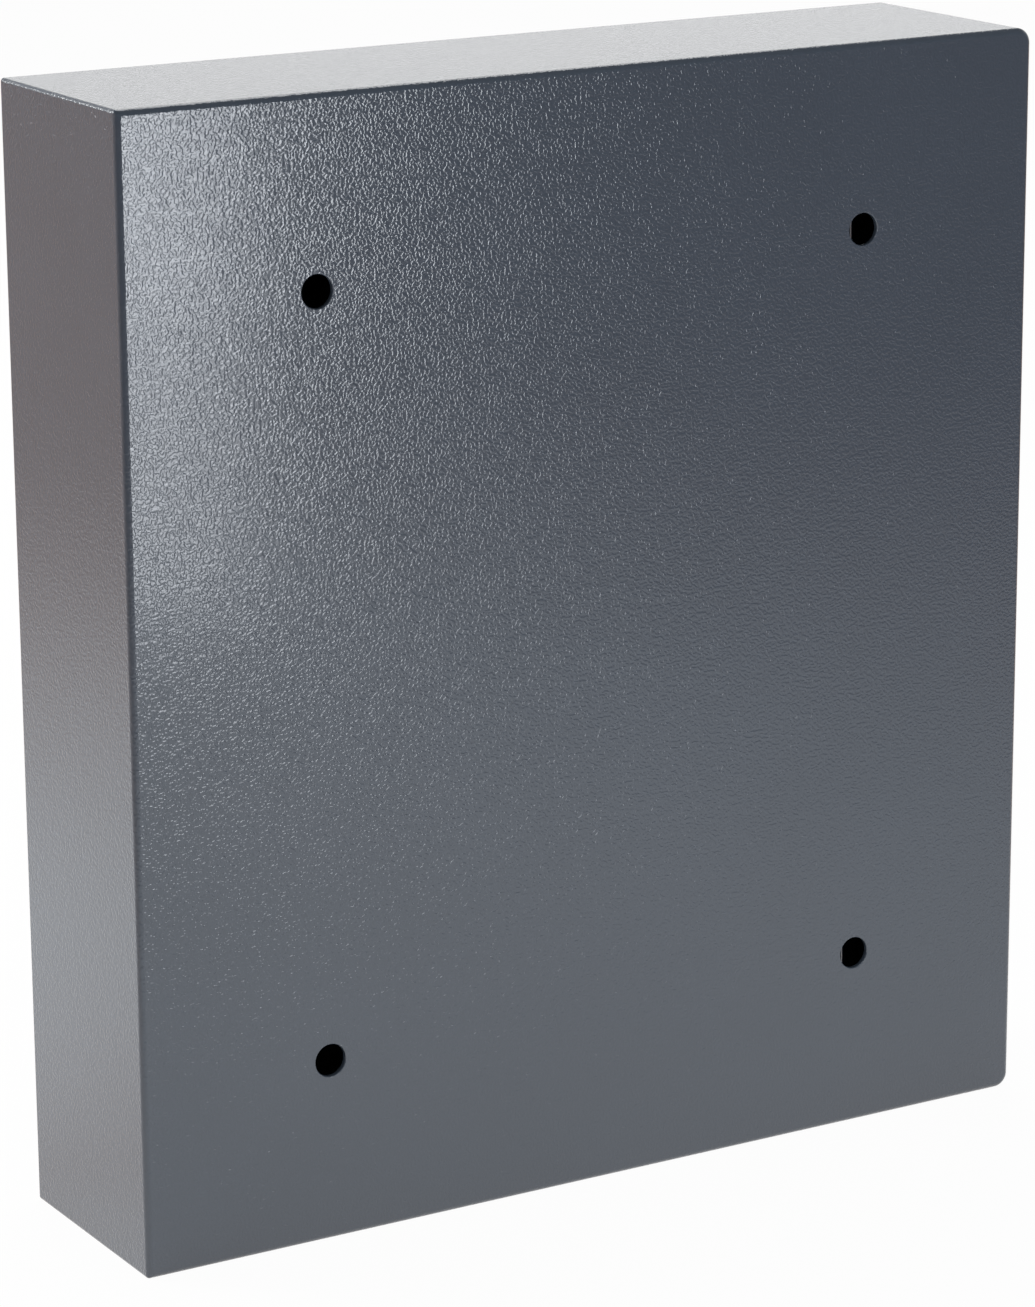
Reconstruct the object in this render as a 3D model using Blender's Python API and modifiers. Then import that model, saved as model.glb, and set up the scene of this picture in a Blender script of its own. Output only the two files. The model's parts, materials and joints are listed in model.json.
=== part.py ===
"""Slim surface-mounted wall safe with an electronic lock.

Metres, +Z up. The origin is the centre of the back face, which lies against the wall.
The door faces -Y, and +X is to the right for someone who stands in front of it.
"""
import math

import bmesh
import bpy
from mathutils import Matrix, Vector

# Body shell
WIDTH = 0.330
HEIGHT = 0.365
DEPTH = 0.080
SHEET = 0.002
CORNER_RADIUS = 0.006
FOLD_RADIUS = 0.002
LIP = 0.016
HOLE_RADIUS = 0.00525
HOLE_SPAN_X = 0.199
HOLE_SPAN_Z = 0.245

# Clearances
SEAT_GAP = 0.0003
SLIDE_GAP = 0.0004
ROOM = 0.002

# Door plate and its swing
DOOR_PLATE = 0.004
DOOR_GAP = 0.002
DOOR_CORNER = 0.003
PIVOT_INSET = 0.020
PIVOT_BACK = 0.0045
SWING_CLEARANCE = 0.00027

# Hinges
PIN_RADIUS = 0.0025
PIN_SEAT = 0.016
PIN_END = 0.003
LUG_WIDTH = 0.020
LUG_DEPTH = 0.012
LUG_HEIGHT = 0.030
BUSH_WALL = 0.0012
BUSH_FLANGE = 0.002
BRACKET_WIDTH = 0.028
BRACKET_SHEET = 0.003
BRACKET_RISE = 0.0015
BRACKET_REACH = 0.0095

# Felt mat on the floor of the shell
MAT_THICKNESS = 0.002
MAT_MARGIN = 0.006

# Locking bolts, their carriage and guides
BOLT_RADIUS = 0.008
BOLT_LENGTH = 0.032
BOLT_SPAN = 0.150
BOLT_BACK = 0.011
BOLT_INSET = 0.0025
BOLT_THROW = 0.015
BOLT_CHAMFER = 0.0015
CARRIAGE_SHEET = 0.002
CARRIAGE_BACK = 0.015
CARRIAGE_BAR = 0.042
CARRIAGE_MARGIN = 0.008
GUIDE_SHEET = 0.0025
GUIDE_FOOT_SHEET = 0.002
GUIDE_FOOT = 0.0135
GUIDE_INSET = 0.009
GUIDE_MARGIN = 0.007
STUD_INSET = 0.0122
STUD_SPAN = 0.100
STUD_RADIUS = 0.003
STUD_COLLAR = 0.002
STUD_HEAD = 0.002

# Knob, spindle and crank
SPINDLE_INSET = 0.102
SPINDLE_DROP = 0.050
SPINDLE_RADIUS = 0.004
SPINDLE_BUSH_WALL = 0.0027
SPINDLE_BUSH_FLANGE = 0.002
CRANK_DISC_RADIUS = 0.016
CRANK_DISC = 0.003
CRANK_GAP = 0.004
CRANK_PIN_RADIUS = 0.0025
KNOB_TURN = math.radians(90)
KNOB_RADIUS = 0.022
KNOB_BASE = 0.006
KNOB_HEIGHT = 0.021
KNOB_GRIP = 0.012
KNOB_EDGE = 0.0012
TONGUE_BELOW = 0.022
TONGUE_ABOVE = 0.023
TONGUE_REACH = 0.022

# Control panel on the front of the door
PANEL_WIDTH = 0.110
PANEL_HEIGHT = 0.190
PANEL_DEPTH = 0.010
PANEL_WALL = 0.0025
PANEL_CORNER = 0.008
PANEL_EDGE = 0.002
PANEL_SHIFT = 0.020
KEY_NAMES = (("1", "2", "3"), ("4", "5", "6"), ("7", "8", "9"), ("left", "0", "right"))
KEY_WIDTH = 0.020
KEY_HEIGHT = 0.014
KEY_DEPTH = 0.008
KEY_PROUD = 0.0017
KEY_GAP_X = 0.007
KEY_GAP_Z = 0.0055
KEY_EDGE = 0.001
KEYS_BELOW_WINDOW = 0.005
WINDOW_WIDTH = 0.030
WINDOW_HEIGHT = 0.005
WINDOW_PROUD = 0.0004
WINDOW_BELOW_TOP = 0.006
BOARD_SHEET = 0.0016
BOARD_STANDOFF = 0.0005
BOARD_MARGIN = 0.004

# Emergency key lock
LOCK_OFFSET = 0.053
BARREL_RADIUS = 0.009
BARREL_BACK = 0.016
BARREL_FLANGE = 0.0037
BARREL_RIM = 0.002
PLUG_RADIUS = 0.006
PLUG_TAIL_RADIUS = 0.003
PLUG_TAIL = 0.0035
KEYWAY_WIDTH = 0.0018
KEYWAY_HEIGHT = 0.008
KEYWAY_DEPTH = 0.008
NUT_SIDES = 6
NUT_RADIUS = 0.0135
NUT_THICKNESS = 0.004
CAM_LENGTH = 0.022
CAM_WIDTH = 0.010
CAM_SHEET = 0.002
CAP_RADIUS = 0.012
CAP_DEPTH = 0.003
CAP_PROUD = 0.0012

# Solenoid
PLUNGER_RADIUS = 0.003
PLUNGER_STROKE = 0.005
PLUNGER_SETBACK = 0.006
PLUNGER_TIP = 0.0066
PLUNGER_TAIL = 0.004
PLUNGER_COLLAR_RADIUS = 0.0052
PLUNGER_COLLAR = 0.0017
COIL_WIDTH = 0.024
COIL_DEPTH = 0.022
COIL_HEIGHT = 0.032
FRAME_SHEET = 0.002
SPRING_LENGTH = 0.0104
SPRING_RADIUS = 0.0042
SPRING_WIRE = 0.00045
SPRING_TURNS = 5
SPRING_STEPS = 10

# Lock cover on the inside of the door
COVER_SHEET = 0.0012
COVER_DEPTH = 0.0315
COVER_FLANGE = 0.010
COVER_CORNER = 0.005
SCREW_INSET = 0.025
SCREW_RADIUS = 0.0015
SCREW_HEAD_RADIUS = 0.0035
SCREW_HEAD = 0.002
SCREW_SEAT = 0.0025

# Batteries and reset button
CELL_RADIUS = 0.00725
CELL_LENGTH = 0.0503
CELL_COUNT = 4
CELL_GAP = 0.0006
CONTACT_ROOM = 0.0014
HOLDER_WALL = 0.0015
HOLDER_LIP = 0.003
LID_MARGIN = 0.003
LID_SHEET = 0.0015
LID_CORNER = 0.003
RESET_RISE = 0.090
RESET_RADIUS = 0.004
RESET_RIM = 0.002
RESET_PROUD = 0.0015

# Lead from the key board to the battery holder
LEAD_RADIUS = 0.0015
LEAD_HOLE_RADIUS = 0.004
LEAD_RISE = 0.065
LEAD_BEND = 0.009
LEAD_STEPS = 4

ROUND = 24
SMALL_ROUND = 16

# Places worked out from the sizes above
front = -DEPTH
door_back = front + DOOR_PLATE
seat = door_back + SEAT_GAP
lip_back = front + SHEET
inner_half_width = WIDTH / 2 - SHEET
inner_half_height = HEIGHT / 2 - SHEET
opening_half_width = WIDTH / 2 - LIP
opening_half_height = HEIGHT / 2 - LIP

pivot_depth = DOOR_PLATE + PIVOT_BACK
hinge_gap = math.hypot(PIVOT_INSET, pivot_depth) - PIVOT_INSET + SWING_CLEARANCE
door_left = -opening_half_width + DOOR_GAP
door_right = opening_half_width - hinge_gap
door_half_height = opening_half_height - DOOR_GAP
pivot_x = door_right - PIVOT_INSET
pivot_y = front + pivot_depth

bolt_y = door_back + BOLT_BACK
bolt_tip = door_left + BOLT_INSET
bolt_root = bolt_tip + BOLT_LENGTH
bolt_heights = {"upper": BOLT_SPAN / 2, "lower": -BOLT_SPAN / 2}
carriage_left = bolt_root + SEAT_GAP
carriage_front = door_back + CARRIAGE_BACK
carriage_rear = carriage_front + CARRIAGE_SHEET
bar_right = carriage_left + CARRIAGE_BAR
bar_half_height = BOLT_SPAN / 2 + BOLT_RADIUS + CARRIAGE_MARGIN
guide_left = door_left + GUIDE_INSET
guide_half_height = bar_half_height + GUIDE_MARGIN
stud_x = carriage_left + STUD_INSET

spindle_x = door_left + SPINDLE_INSET
spindle_z = -SPINDLE_DROP
spindle_bush_radius = SPINDLE_RADIUS + SEAT_GAP + SPINDLE_BUSH_WALL
crank_rear = carriage_front - CRANK_GAP
crank_front = crank_rear - CRANK_DISC
# The pin swings the same angle to both sides of straight up, and the carriage moves by its chord.
crank_throw = BOLT_THROW / 2 / math.sin(KNOB_TURN / 2)
crank_lean = math.acos(BOLT_THROW / KNOB_TURN / crank_throw)
# An even slide departs from the pin's sine by this much, which the slot leaves free on each side.
crank_lag = crank_throw * math.sin(crank_lean) - BOLT_THROW / KNOB_TURN * crank_lean
pin_rest_x = spindle_x + BOLT_THROW / 2
pin_low_z = spindle_z + crank_throw * math.cos(KNOB_TURN / 2)
pin_high_z = spindle_z + crank_throw
pin_slot = CRANK_PIN_RADIUS + crank_lag + SLIDE_GAP
tongue_right = spindle_x + TONGUE_REACH
tongue_top = spindle_z + TONGUE_ABOVE

panel_x = spindle_x + PANEL_SHIFT
panel_back = front - SEAT_GAP
panel_front = panel_back - PANEL_DEPTH
panel_top = PANEL_HEIGHT / 2
window_z = panel_top - WINDOW_BELOW_TOP - WINDOW_HEIGHT / 2
keys_top = window_z - WINDOW_HEIGHT / 2 - KEYS_BELOW_WINDOW
key_rows = len(KEY_NAMES)
key_columns = len(KEY_NAMES[0])
keys_half_width = key_columns * (KEY_WIDTH + KEY_GAP_X) / 2 - KEY_GAP_X / 2
keys_bottom = keys_top - key_rows * (KEY_HEIGHT + KEY_GAP_Z) + KEY_GAP_Z
board_rear = panel_back - BOARD_STANDOFF
board_front = board_rear - BOARD_SHEET
board_bottom = keys_bottom - BOARD_MARGIN
board_right = panel_x + keys_half_width + BOARD_MARGIN

lock_x = spindle_x + LOCK_OFFSET
lock_z = spindle_z
barrel_rear = door_back + BARREL_BACK
cam_front = barrel_rear + SLIDE_GAP + ROOM
cam_rear = cam_front + CAM_SHEET

plunger_x = tongue_right - PLUNGER_SETBACK
plunger_y = carriage_front + CARRIAGE_SHEET / 2
plunger_tip = tongue_top + SLIDE_GAP
collar_bottom = plunger_tip + PLUNGER_TIP
collar_top = collar_bottom + PLUNGER_COLLAR
frame_bottom = collar_top + SPRING_LENGTH + 2 * SEAT_GAP
coil_bottom = frame_bottom + FRAME_SHEET + SEAT_GAP
coil_top = coil_bottom + COIL_HEIGHT
frame_top = coil_top + SEAT_GAP + FRAME_SHEET
plunger_top = frame_top + PLUNGER_TAIL

cover_inner_rear = seat + COVER_DEPTH
cover_rear = cover_inner_rear + COVER_SHEET
holder_left = bar_right + ROOM + SLIDE_GAP
holder_right = holder_left + CELL_LENGTH + 2 * (CONTACT_ROOM + HOLDER_WALL)
holder_bottom = plunger_top + ROOM
cell_pitch = 2 * CELL_RADIUS + CELL_GAP
holder_top = holder_bottom + CELL_COUNT * cell_pitch + CELL_GAP + 2 * HOLDER_WALL
holder_rear = cover_inner_rear - SEAT_GAP
cell_y = holder_rear - HOLDER_LIP - CELL_RADIUS
holder_front = cell_y - CELL_RADIUS - SEAT_GAP - HOLDER_WALL
cover_inner_left = guide_left - ROOM
cover_inner_right = max(lock_x + NUT_RADIUS, holder_right) + ROOM
cover_inner_top = max(guide_half_height, holder_top) + ROOM
cover_inner_bottom = -guide_half_height - ROOM
reset_x = lock_x
reset_z = lock_z + RESET_RISE
lead_x = lock_x
lead_z = lock_z + LEAD_RISE

rigs = {
    "cabinet": Vector((0, 0, 0)),
    "door": Vector((pivot_x, pivot_y, 0)),
    "knob": Vector((spindle_x, panel_front, spindle_z)),
    "carriage": Vector((carriage_left, carriage_front, 0)),
    "plunger": Vector((plunger_x, plunger_y, plunger_tip)),
    "key_plug": Vector((lock_x, front, lock_z)),
    "key_cap": Vector((lock_x, panel_front, lock_z)),
    "battery_lid": Vector((holder_left, cover_rear, holder_bottom)),
    "reset": Vector((reset_x, cover_rear, reset_z)),
}
FINISHES = {
    "slate_coat": ((0.075, 0.085, 0.100), 0.42, 0.0),
    "zinc_steel": ((0.56, 0.57, 0.58), 0.38, 1.0),
    "bright_steel": ((0.66, 0.66, 0.67), 0.22, 1.0),
    "black_plastic": ((0.020, 0.021, 0.023), 0.45, 0.0),
    "key_grey": ((0.42, 0.43, 0.44), 0.50, 0.0),
    "brass": ((0.70, 0.52, 0.25), 0.30, 1.0),
    "board_green": ((0.03, 0.16, 0.07), 0.50, 0.0),
    "window_smoke": ((0.05, 0.01, 0.01), 0.12, 0.0),
    "coil_tape": ((0.45, 0.20, 0.05), 0.50, 0.0),
    "cell_sleeve": ((0.10, 0.11, 0.12), 0.30, 0.0),
    "felt": ((0.16, 0.075, 0.045), 0.95, 0.0),
    "lead_black": ((0.015, 0.015, 0.016), 0.55, 0.0),
    "reset_red": ((0.45, 0.03, 0.03), 0.40, 0.0),
}


def clear_scene():
    for obj in list(bpy.data.objects):
        bpy.data.objects.remove(obj, do_unlink=True)


def new_collection(name):
    collection = bpy.data.collections.new(name)
    bpy.context.scene.collection.children.link(collection)
    return collection


def make_finish(name):
    colour, roughness, metallic = FINISHES[name]
    material = bpy.data.materials.new(name)
    material.use_nodes = True
    shader = material.node_tree.nodes["Principled BSDF"]
    shader.inputs["Base Color"].default_value = (*colour, 1.0)
    shader.inputs["Roughness"].default_value = roughness
    shader.inputs["Metallic"].default_value = metallic
    material.diffuse_color = (*colour, 1.0)
    return material


def add_rigs():
    """One empty on the axis of each joint, for the pieces that move with it."""
    made = {}
    for name, place in rigs.items():
        empty = bpy.data.objects.new(name + "_rig", None)
        empty.location = place
        parts.objects.link(empty)
        made[name] = empty
    return made


def box(low, high):
    shape = bmesh.new()
    bmesh.ops.create_cube(shape, size=1.0)
    low, high = Vector(low), Vector(high)
    bmesh.ops.scale(shape, vec=high - low, verts=shape.verts)
    bmesh.ops.translate(shape, vec=(low + high) / 2, verts=shape.verts)
    return shape


def rod(axis, centre, start, end, radius, steps=ROUND):
    """A cylinder along one axis, from start to end on it, round a centre in the other two."""
    shape = bmesh.new()
    bmesh.ops.create_cone(shape, cap_ends=True, segments=steps, radius1=radius, radius2=radius,
                          depth=end - start)
    index = "XYZ".index(axis)
    turn = {"X": Matrix.Rotation(math.pi / 2, 3, "Y"), "Y": Matrix.Rotation(-math.pi / 2, 3, "X"),
            "Z": Matrix.Identity(3)}[axis]
    bmesh.ops.rotate(shape, matrix=turn, verts=shape.verts)
    place = list(centre)
    place.insert(index, (start + end) / 2)
    bmesh.ops.translate(shape, vec=place, verts=shape.verts)
    return shape


def round_edges(shape, axis, radius, steps=3):
    """Rounds the edges that run along one axis."""
    index = "XYZ".index(axis)
    edges = []
    for edge in shape.edges:
        along = (edge.verts[1].co - edge.verts[0].co).normalized()
        if abs(along[index]) > 0.999:
            edges.append(edge)
    bmesh.ops.bevel(shape, geom=edges, offset=radius, segments=steps, profile=0.5, affect="EDGES")
    return shape


def round_rim(shape, axis, place, radius, steps=2):
    """Rounds the edges that lie in one plane across an axis."""
    index = "XYZ".index(axis)
    edges = [edge for edge in shape.edges
             if all(abs(vert.co[index] - place) < 1e-6 for vert in edge.verts)]
    bmesh.ops.bevel(shape, geom=edges, offset=radius, segments=steps, profile=0.5, affect="EDGES")
    return shape


def arc(centre, radius, start, end, steps):
    """Points of an arc in a plane, with angles in degrees."""
    points = []
    for step in range(steps + 1):
        angle = math.radians(start + (end - start) * step / steps)
        points.append((centre[0] + radius * math.cos(angle), centre[1] + radius * math.sin(angle)))
    return points


def slot_outline(start, end, radius, steps=8):
    """A slot with round ends between two centres, drawn in a plane."""
    lean = math.degrees(math.atan2(end[1] - start[1], end[0] - start[0]))
    far = arc(end, radius, lean - 90, lean + 90, steps)
    near = arc(start, radius, lean + 90, lean + 270, steps)
    return far + near


def plate(outlines, front_y, rear_y):
    """A flat plate across Y from outlines in X and Z, the first one outside and the others holes."""
    curve = bpy.data.curves.new("outline", "CURVE")
    curve.dimensions = "2D"
    curve.fill_mode = "BOTH"
    curve.extrude = (rear_y - front_y) / 2
    for points in outlines:
        spline = curve.splines.new("POLY")
        spline.points.add(len(points) - 1)
        for point, (x, z) in zip(spline.points, points):
            point.co = (x, z, 0, 1)
        spline.use_cyclic_u = True
    outline = bpy.data.objects.new("outline", curve)
    parts.objects.link(outline)
    graph = bpy.context.evaluated_depsgraph_get()
    mesh = bpy.data.meshes.new_from_object(outline.evaluated_get(graph))
    bpy.data.objects.remove(outline, do_unlink=True)
    shape = bmesh.new()
    shape.from_mesh(mesh)
    bmesh.ops.remove_doubles(shape, verts=shape.verts, dist=1e-6)
    # The outline lies in X and Y, and stands up in X and Z with its middle between the two faces.
    bmesh.ops.rotate(shape, matrix=Matrix.Rotation(math.pi / 2, 3, "X"), verts=shape.verts)
    bmesh.ops.translate(shape, vec=(0, (front_y + rear_y) / 2, 0), verts=shape.verts)
    return shape


def add_object(name, shape, collection, origin):
    mesh = bpy.data.meshes.new(name)
    bmesh.ops.translate(shape, vec=-origin, verts=shape.verts)
    shape.to_mesh(mesh)
    shape.free()
    obj = bpy.data.objects.new(name, mesh)
    collection.objects.link(obj)
    return obj


def add_part(name, shape, finish, rig, smooth=False):
    """A piece at its own centre, carried by the empty of the joint that moves it."""
    low = Vector([min(vert.co[i] for vert in shape.verts) for i in range(3)])
    high = Vector([max(vert.co[i] for vert in shape.verts) for i in range(3)])
    centre = (low + high) / 2
    obj = add_object(name, shape, parts, centre)
    obj.data.materials.append(materials[finish])
    if smooth:
        obj.data.shade_smooth()
        obj.data.set_sharp_from_angle(angle=math.radians(35))
    obj.parent = empties[rig]
    obj.location = centre - rigs[rig]
    return obj


def add_turned(name, profile, axis, place, finish, rig, steps=ROUND):
    """A turned piece. The profile holds radius and height pairs down its outer side.

    On the axis Z heights run up, and on the axis Y they run to the front.
    """
    shape = bmesh.new()
    verts = [shape.verts.new((radius, 0, height)) for radius, height in profile]
    for first, second in zip(verts, verts[1:]):
        shape.edges.new((first, second))
    if profile[0][0] > 0 and profile[-1][0] > 0:
        shape.edges.new((verts[-1], verts[0]))
    obj = add_object(name, shape, parts, Vector((0, 0, 0)))
    obj.data.materials.append(materials[finish])
    screw = obj.modifiers.new("turned", "SCREW")
    screw.axis = "Z"
    screw.steps = steps
    screw.render_steps = steps
    screw.use_merge_vertices = True
    screw.merge_threshold = 1e-5
    screw.use_smooth_shade = True
    obj.parent = empties[rig]
    obj.location = Vector(place) - rigs[rig]
    if axis == "Y":
        obj.rotation_euler = (math.pi / 2, 0, 0)
    return obj


def hidden_tool(name, shape):
    """A body that only cuts or joins another piece."""
    tool = add_object(name, shape, cutters, Vector((0, 0, 0)))
    tool.hide_render = True
    tool.display_type = "WIRE"
    return tool


def combine(obj, shape, operation):
    tool = hidden_tool(obj.name + "_tool", shape)
    boolean = obj.modifiers.new(operation.lower(), "BOOLEAN")
    boolean.operation = operation
    boolean.solver = "EXACT"
    boolean.object = tool
    return obj


def cut(obj, shape):
    return combine(obj, shape, "DIFFERENCE")


def join(obj, shape):
    return combine(obj, shape, "UNION")


def hole(obj, axis, centre, start, end, radius, steps=ROUND):
    return cut(obj, rod(axis, centre, start, end, radius, steps))


def rounded_block(low, high, axis, radius, steps=3):
    return round_edges(box(low, high), axis, radius, steps)


def make_body_shell():
    shape = rounded_block((-WIDTH / 2, front, -HEIGHT / 2), (WIDTH / 2, 0, HEIGHT / 2),
                          "Y", CORNER_RADIUS, 6)
    round_rim(shape, "Y", 0, FOLD_RADIUS, 3)
    round_rim(shape, "Y", front, FOLD_RADIUS / 2, 2)
    shell = add_part("body_shell", shape, "slate_coat", "cabinet", smooth=True)
    cut(shell, rounded_block((-inner_half_width, lip_back, -inner_half_height),
                             (inner_half_width, -SHEET, inner_half_height),
                             "Y", CORNER_RADIUS - SHEET, 4))
    cut(shell, rounded_block((-opening_half_width, front - SHEET, -opening_half_height),
                             (opening_half_width, lip_back + SHEET, opening_half_height),
                             "Y", DOOR_CORNER + DOOR_GAP, 4))
    for side in (-1, 1):
        for level in (-1, 1):
            place = (side * HOLE_SPAN_X / 2, level * HOLE_SPAN_Z / 2)
            hole(shell, "Y", place, -2 * SHEET, SHEET, HOLE_RADIUS)


def make_floor_mat():
    floor = -inner_half_height + SEAT_GAP
    mat_front = pivot_y + BRACKET_REACH + MAT_MARGIN / 2
    mat = rounded_block((-inner_half_width + MAT_MARGIN, mat_front, floor),
                        (inner_half_width - MAT_MARGIN, -SHEET - MAT_MARGIN, floor + MAT_THICKNESS),
                        "Z", MAT_MARGIN / 2)
    add_part("floor_mat", mat, "felt", "cabinet")


def make_hinge(name, side):
    """Lug and pin on the door, bracket and bush in the shell. side is 1 at the top, -1 below."""
    bore = PIN_RADIUS + SEAT_GAP
    sleeve = bore + BUSH_WALL
    lug_end = side * door_half_height
    tab_low = opening_half_height + BRACKET_RISE
    tab_high = tab_low + BRACKET_SHEET
    pin_end = tab_high + PIN_END

    def span(first, second):
        return min(side * first, side * second), max(side * first, side * second)

    low, high = span(door_half_height - LUG_HEIGHT, door_half_height)
    lug = rounded_block((pivot_x - LUG_WIDTH / 2, seat, low),
                        (pivot_x + LUG_WIDTH / 2, seat + LUG_DEPTH, high), "Z", LUG_DEPTH / 4)
    lug = add_part(name + "_hinge_lug", lug, "slate_coat", "door")
    low, high = span(door_half_height - PIN_SEAT, door_half_height + ROOM)
    hole(lug, "Z", (pivot_x, pivot_y), low, high, bore, SMALL_ROUND)

    low, high = span(door_half_height - PIN_SEAT + SEAT_GAP, pin_end)
    pin = rod("Z", (pivot_x, pivot_y), low, high, PIN_RADIUS, SMALL_ROUND)
    add_part(name + "_hinge_pin", pin, "bright_steel", "door", smooth=True)

    leg_front = lip_back + SEAT_GAP
    low, high = span(tab_low, tab_high)
    tab = rounded_block((pivot_x - BRACKET_WIDTH / 2, leg_front, low),
                        (pivot_x + BRACKET_WIDTH / 2, pivot_y + BRACKET_REACH, high), "Z", BUSH_WALL)
    bracket = add_part(name + "_hinge_bracket", tab, "slate_coat", "cabinet")
    low, high = span(tab_low + BRACKET_SHEET / 2, inner_half_height - SEAT_GAP)
    join(bracket, box((pivot_x - BRACKET_WIDTH / 2 + BUSH_WALL, leg_front + BUSH_WALL / 2, low),
                      (pivot_x + BRACKET_WIDTH / 2 - BUSH_WALL, leg_front + BRACKET_SHEET, high)))
    low, high = span(tab_low - ROOM, tab_high + ROOM)
    hole(bracket, "Z", (pivot_x, pivot_y), low, high, sleeve + SEAT_GAP)

    flange = sleeve + BUSH_FLANGE
    flange_low = abs(lug_end) + SEAT_GAP
    flange_high = tab_low - SEAT_GAP
    profile = [(bore, tab_high), (sleeve, tab_high), (sleeve, flange_high), (flange, flange_high),
               (flange, flange_low), (bore, flange_low)]
    if side < 0:
        profile = [(radius, -height) for radius, height in reversed(profile)]
    add_turned(name + "_hinge_bush", profile, "Z", (pivot_x, pivot_y, 0), "brass", "cabinet")


def make_door_panel():
    shape = rounded_block((door_left, front, -door_half_height),
                          (door_right, door_back, door_half_height), "Y", DOOR_CORNER, 4)
    panel = add_part("door_panel", shape, "slate_coat", "door")
    through = (front - ROOM, door_back + ROOM)
    hole(panel, "Y", (spindle_x, spindle_z), *through, spindle_bush_radius + SEAT_GAP)
    hole(panel, "Y", (lock_x, lock_z), *through, BARREL_RADIUS + SEAT_GAP)
    hole(panel, "Y", (lead_x, lead_z), *through, LEAD_HOLE_RADIUS)
    for x, z in screw_places():
        hole(panel, "Y", (x, z), door_back - SCREW_SEAT - SEAT_GAP, door_back + ROOM,
             SCREW_RADIUS + SEAT_GAP, SMALL_ROUND)


def make_bolts():
    for name, z in bolt_heights.items():
        bolt = rod("X", (bolt_y, z), bolt_tip, bolt_root, BOLT_RADIUS)
        round_rim(bolt, "X", bolt_tip, BOLT_CHAMFER, 1)
        add_part(name + "_bolt", bolt, "bright_steel", "carriage", smooth=True)


def make_carriage():
    ramp_start = plunger_x - PLUNGER_RADIUS
    ramp_drop = PLUNGER_STROKE / BOLT_THROW * (tongue_right - ramp_start) + SLIDE_GAP
    tongue_low = spindle_z - TONGUE_BELOW
    outside = [(carriage_left, -bar_half_height), (bar_right, -bar_half_height), (bar_right, tongue_low),
               (tongue_right, tongue_low), (tongue_right, tongue_top - ramp_drop), (ramp_start, tongue_top),
               (bar_right, tongue_top), (bar_right, bar_half_height), (carriage_left, bar_half_height)]
    slots = [slot_outline((pin_rest_x, pin_low_z), (pin_rest_x, pin_high_z), pin_slot)]
    for level in (-1, 1):
        height = level * STUD_SPAN / 2
        slots.append(slot_outline((stud_x, height), (stud_x + BOLT_THROW, height), STUD_RADIUS + SLIDE_GAP))
    carriage = add_part("bolt_carriage", plate([outside] + slots, carriage_front, carriage_rear),
                        "zinc_steel", "carriage")
    join(carriage, box((carriage_left, bolt_y - BOLT_RADIUS, -bar_half_height),
                       (carriage_left + CARRIAGE_SHEET, carriage_rear, bar_half_height)))


def make_bolt_guide():
    guide_rear = bolt_y + BOLT_RADIUS + GUIDE_MARGIN
    flange = box((guide_left, seat, -guide_half_height),
                 (guide_left + GUIDE_SHEET, guide_rear, guide_half_height))
    guide = add_part("bolt_guide", flange, "zinc_steel", "door")
    join(guide, box((guide_left + GUIDE_SHEET / 2, seat, -guide_half_height),
                    (guide_left + GUIDE_SHEET + GUIDE_FOOT, seat + GUIDE_FOOT_SHEET, guide_half_height)))
    for z in bolt_heights.values():
        hole(guide, "X", (bolt_y, z), guide_left - ROOM, guide_left + GUIDE_SHEET + ROOM,
             BOLT_RADIUS + SEAT_GAP)


def make_guide_studs():
    collar = STUD_RADIUS + STUD_COLLAR
    near = carriage_front - SLIDE_GAP
    far = carriage_rear + SLIDE_GAP
    # Heights run to the front, from the head behind the carriage to the foot on the door.
    profile = [(0, -seat), (collar, -seat), (collar, -near), (STUD_RADIUS, -near),
               (STUD_RADIUS, -far), (collar, -far), (collar, -far - STUD_HEAD), (0, -far - STUD_HEAD)]
    for name, level in (("upper", 1), ("lower", -1)):
        add_turned(name + "_guide_stud", profile, "Y", (stud_x, 0, level * STUD_SPAN / 2),
                   "bright_steel", "door", SMALL_ROUND)


def make_knob():
    back = panel_front - SLIDE_GAP
    bore = SPINDLE_RADIUS + SEAT_GAP
    knob_front = back - KNOB_HEIGHT
    knob_base = back - KNOB_BASE
    bore_end = back - KNOB_HEIGHT / 2
    profile = [(0, -knob_base), (KNOB_RADIUS - KNOB_EDGE, -knob_base),
               (KNOB_RADIUS, -knob_base - KNOB_EDGE), (KNOB_RADIUS, -back), (0, -back)]
    knob = add_turned("knob", profile, "Y", (spindle_x, 0, spindle_z), "black_plastic", "knob")
    wide, reach = KNOB_GRIP / 2, KNOB_RADIUS - KNOB_EDGE
    grip = rounded_block((spindle_x - wide, knob_front, spindle_z - reach),
                         (spindle_x + wide, back - KNOB_BASE / 2, spindle_z + reach), "Y", wide - SEAT_GAP, 6)
    round_rim(grip, "Y", knob_front, KNOB_EDGE, 2)
    join(knob, grip)
    hole(knob, "Y", (spindle_x, spindle_z), bore_end, back + ROOM, bore)
    spindle = rod("Y", (spindle_x, spindle_z), bore_end + SEAT_GAP, crank_rear, SPINDLE_RADIUS)
    add_part("spindle", spindle, "bright_steel", "knob", smooth=True)


def make_crank():
    disc = rod("Y", (spindle_x, spindle_z), crank_front, crank_rear, CRANK_DISC_RADIUS)
    disc = add_part("crank_disc", disc, "zinc_steel", "knob", smooth=True)
    through = (crank_front - ROOM, crank_rear + ROOM)
    hole(disc, "Y", (spindle_x, spindle_z), *through, SPINDLE_RADIUS + SEAT_GAP)
    hole(disc, "Y", (pin_rest_x, pin_low_z), *through, CRANK_PIN_RADIUS + SEAT_GAP, SMALL_ROUND)
    pin = rod("Y", (pin_rest_x, pin_low_z), crank_front, carriage_rear + ROOM, CRANK_PIN_RADIUS, SMALL_ROUND)
    add_part("crank_pin", pin, "bright_steel", "knob", smooth=True)


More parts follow.
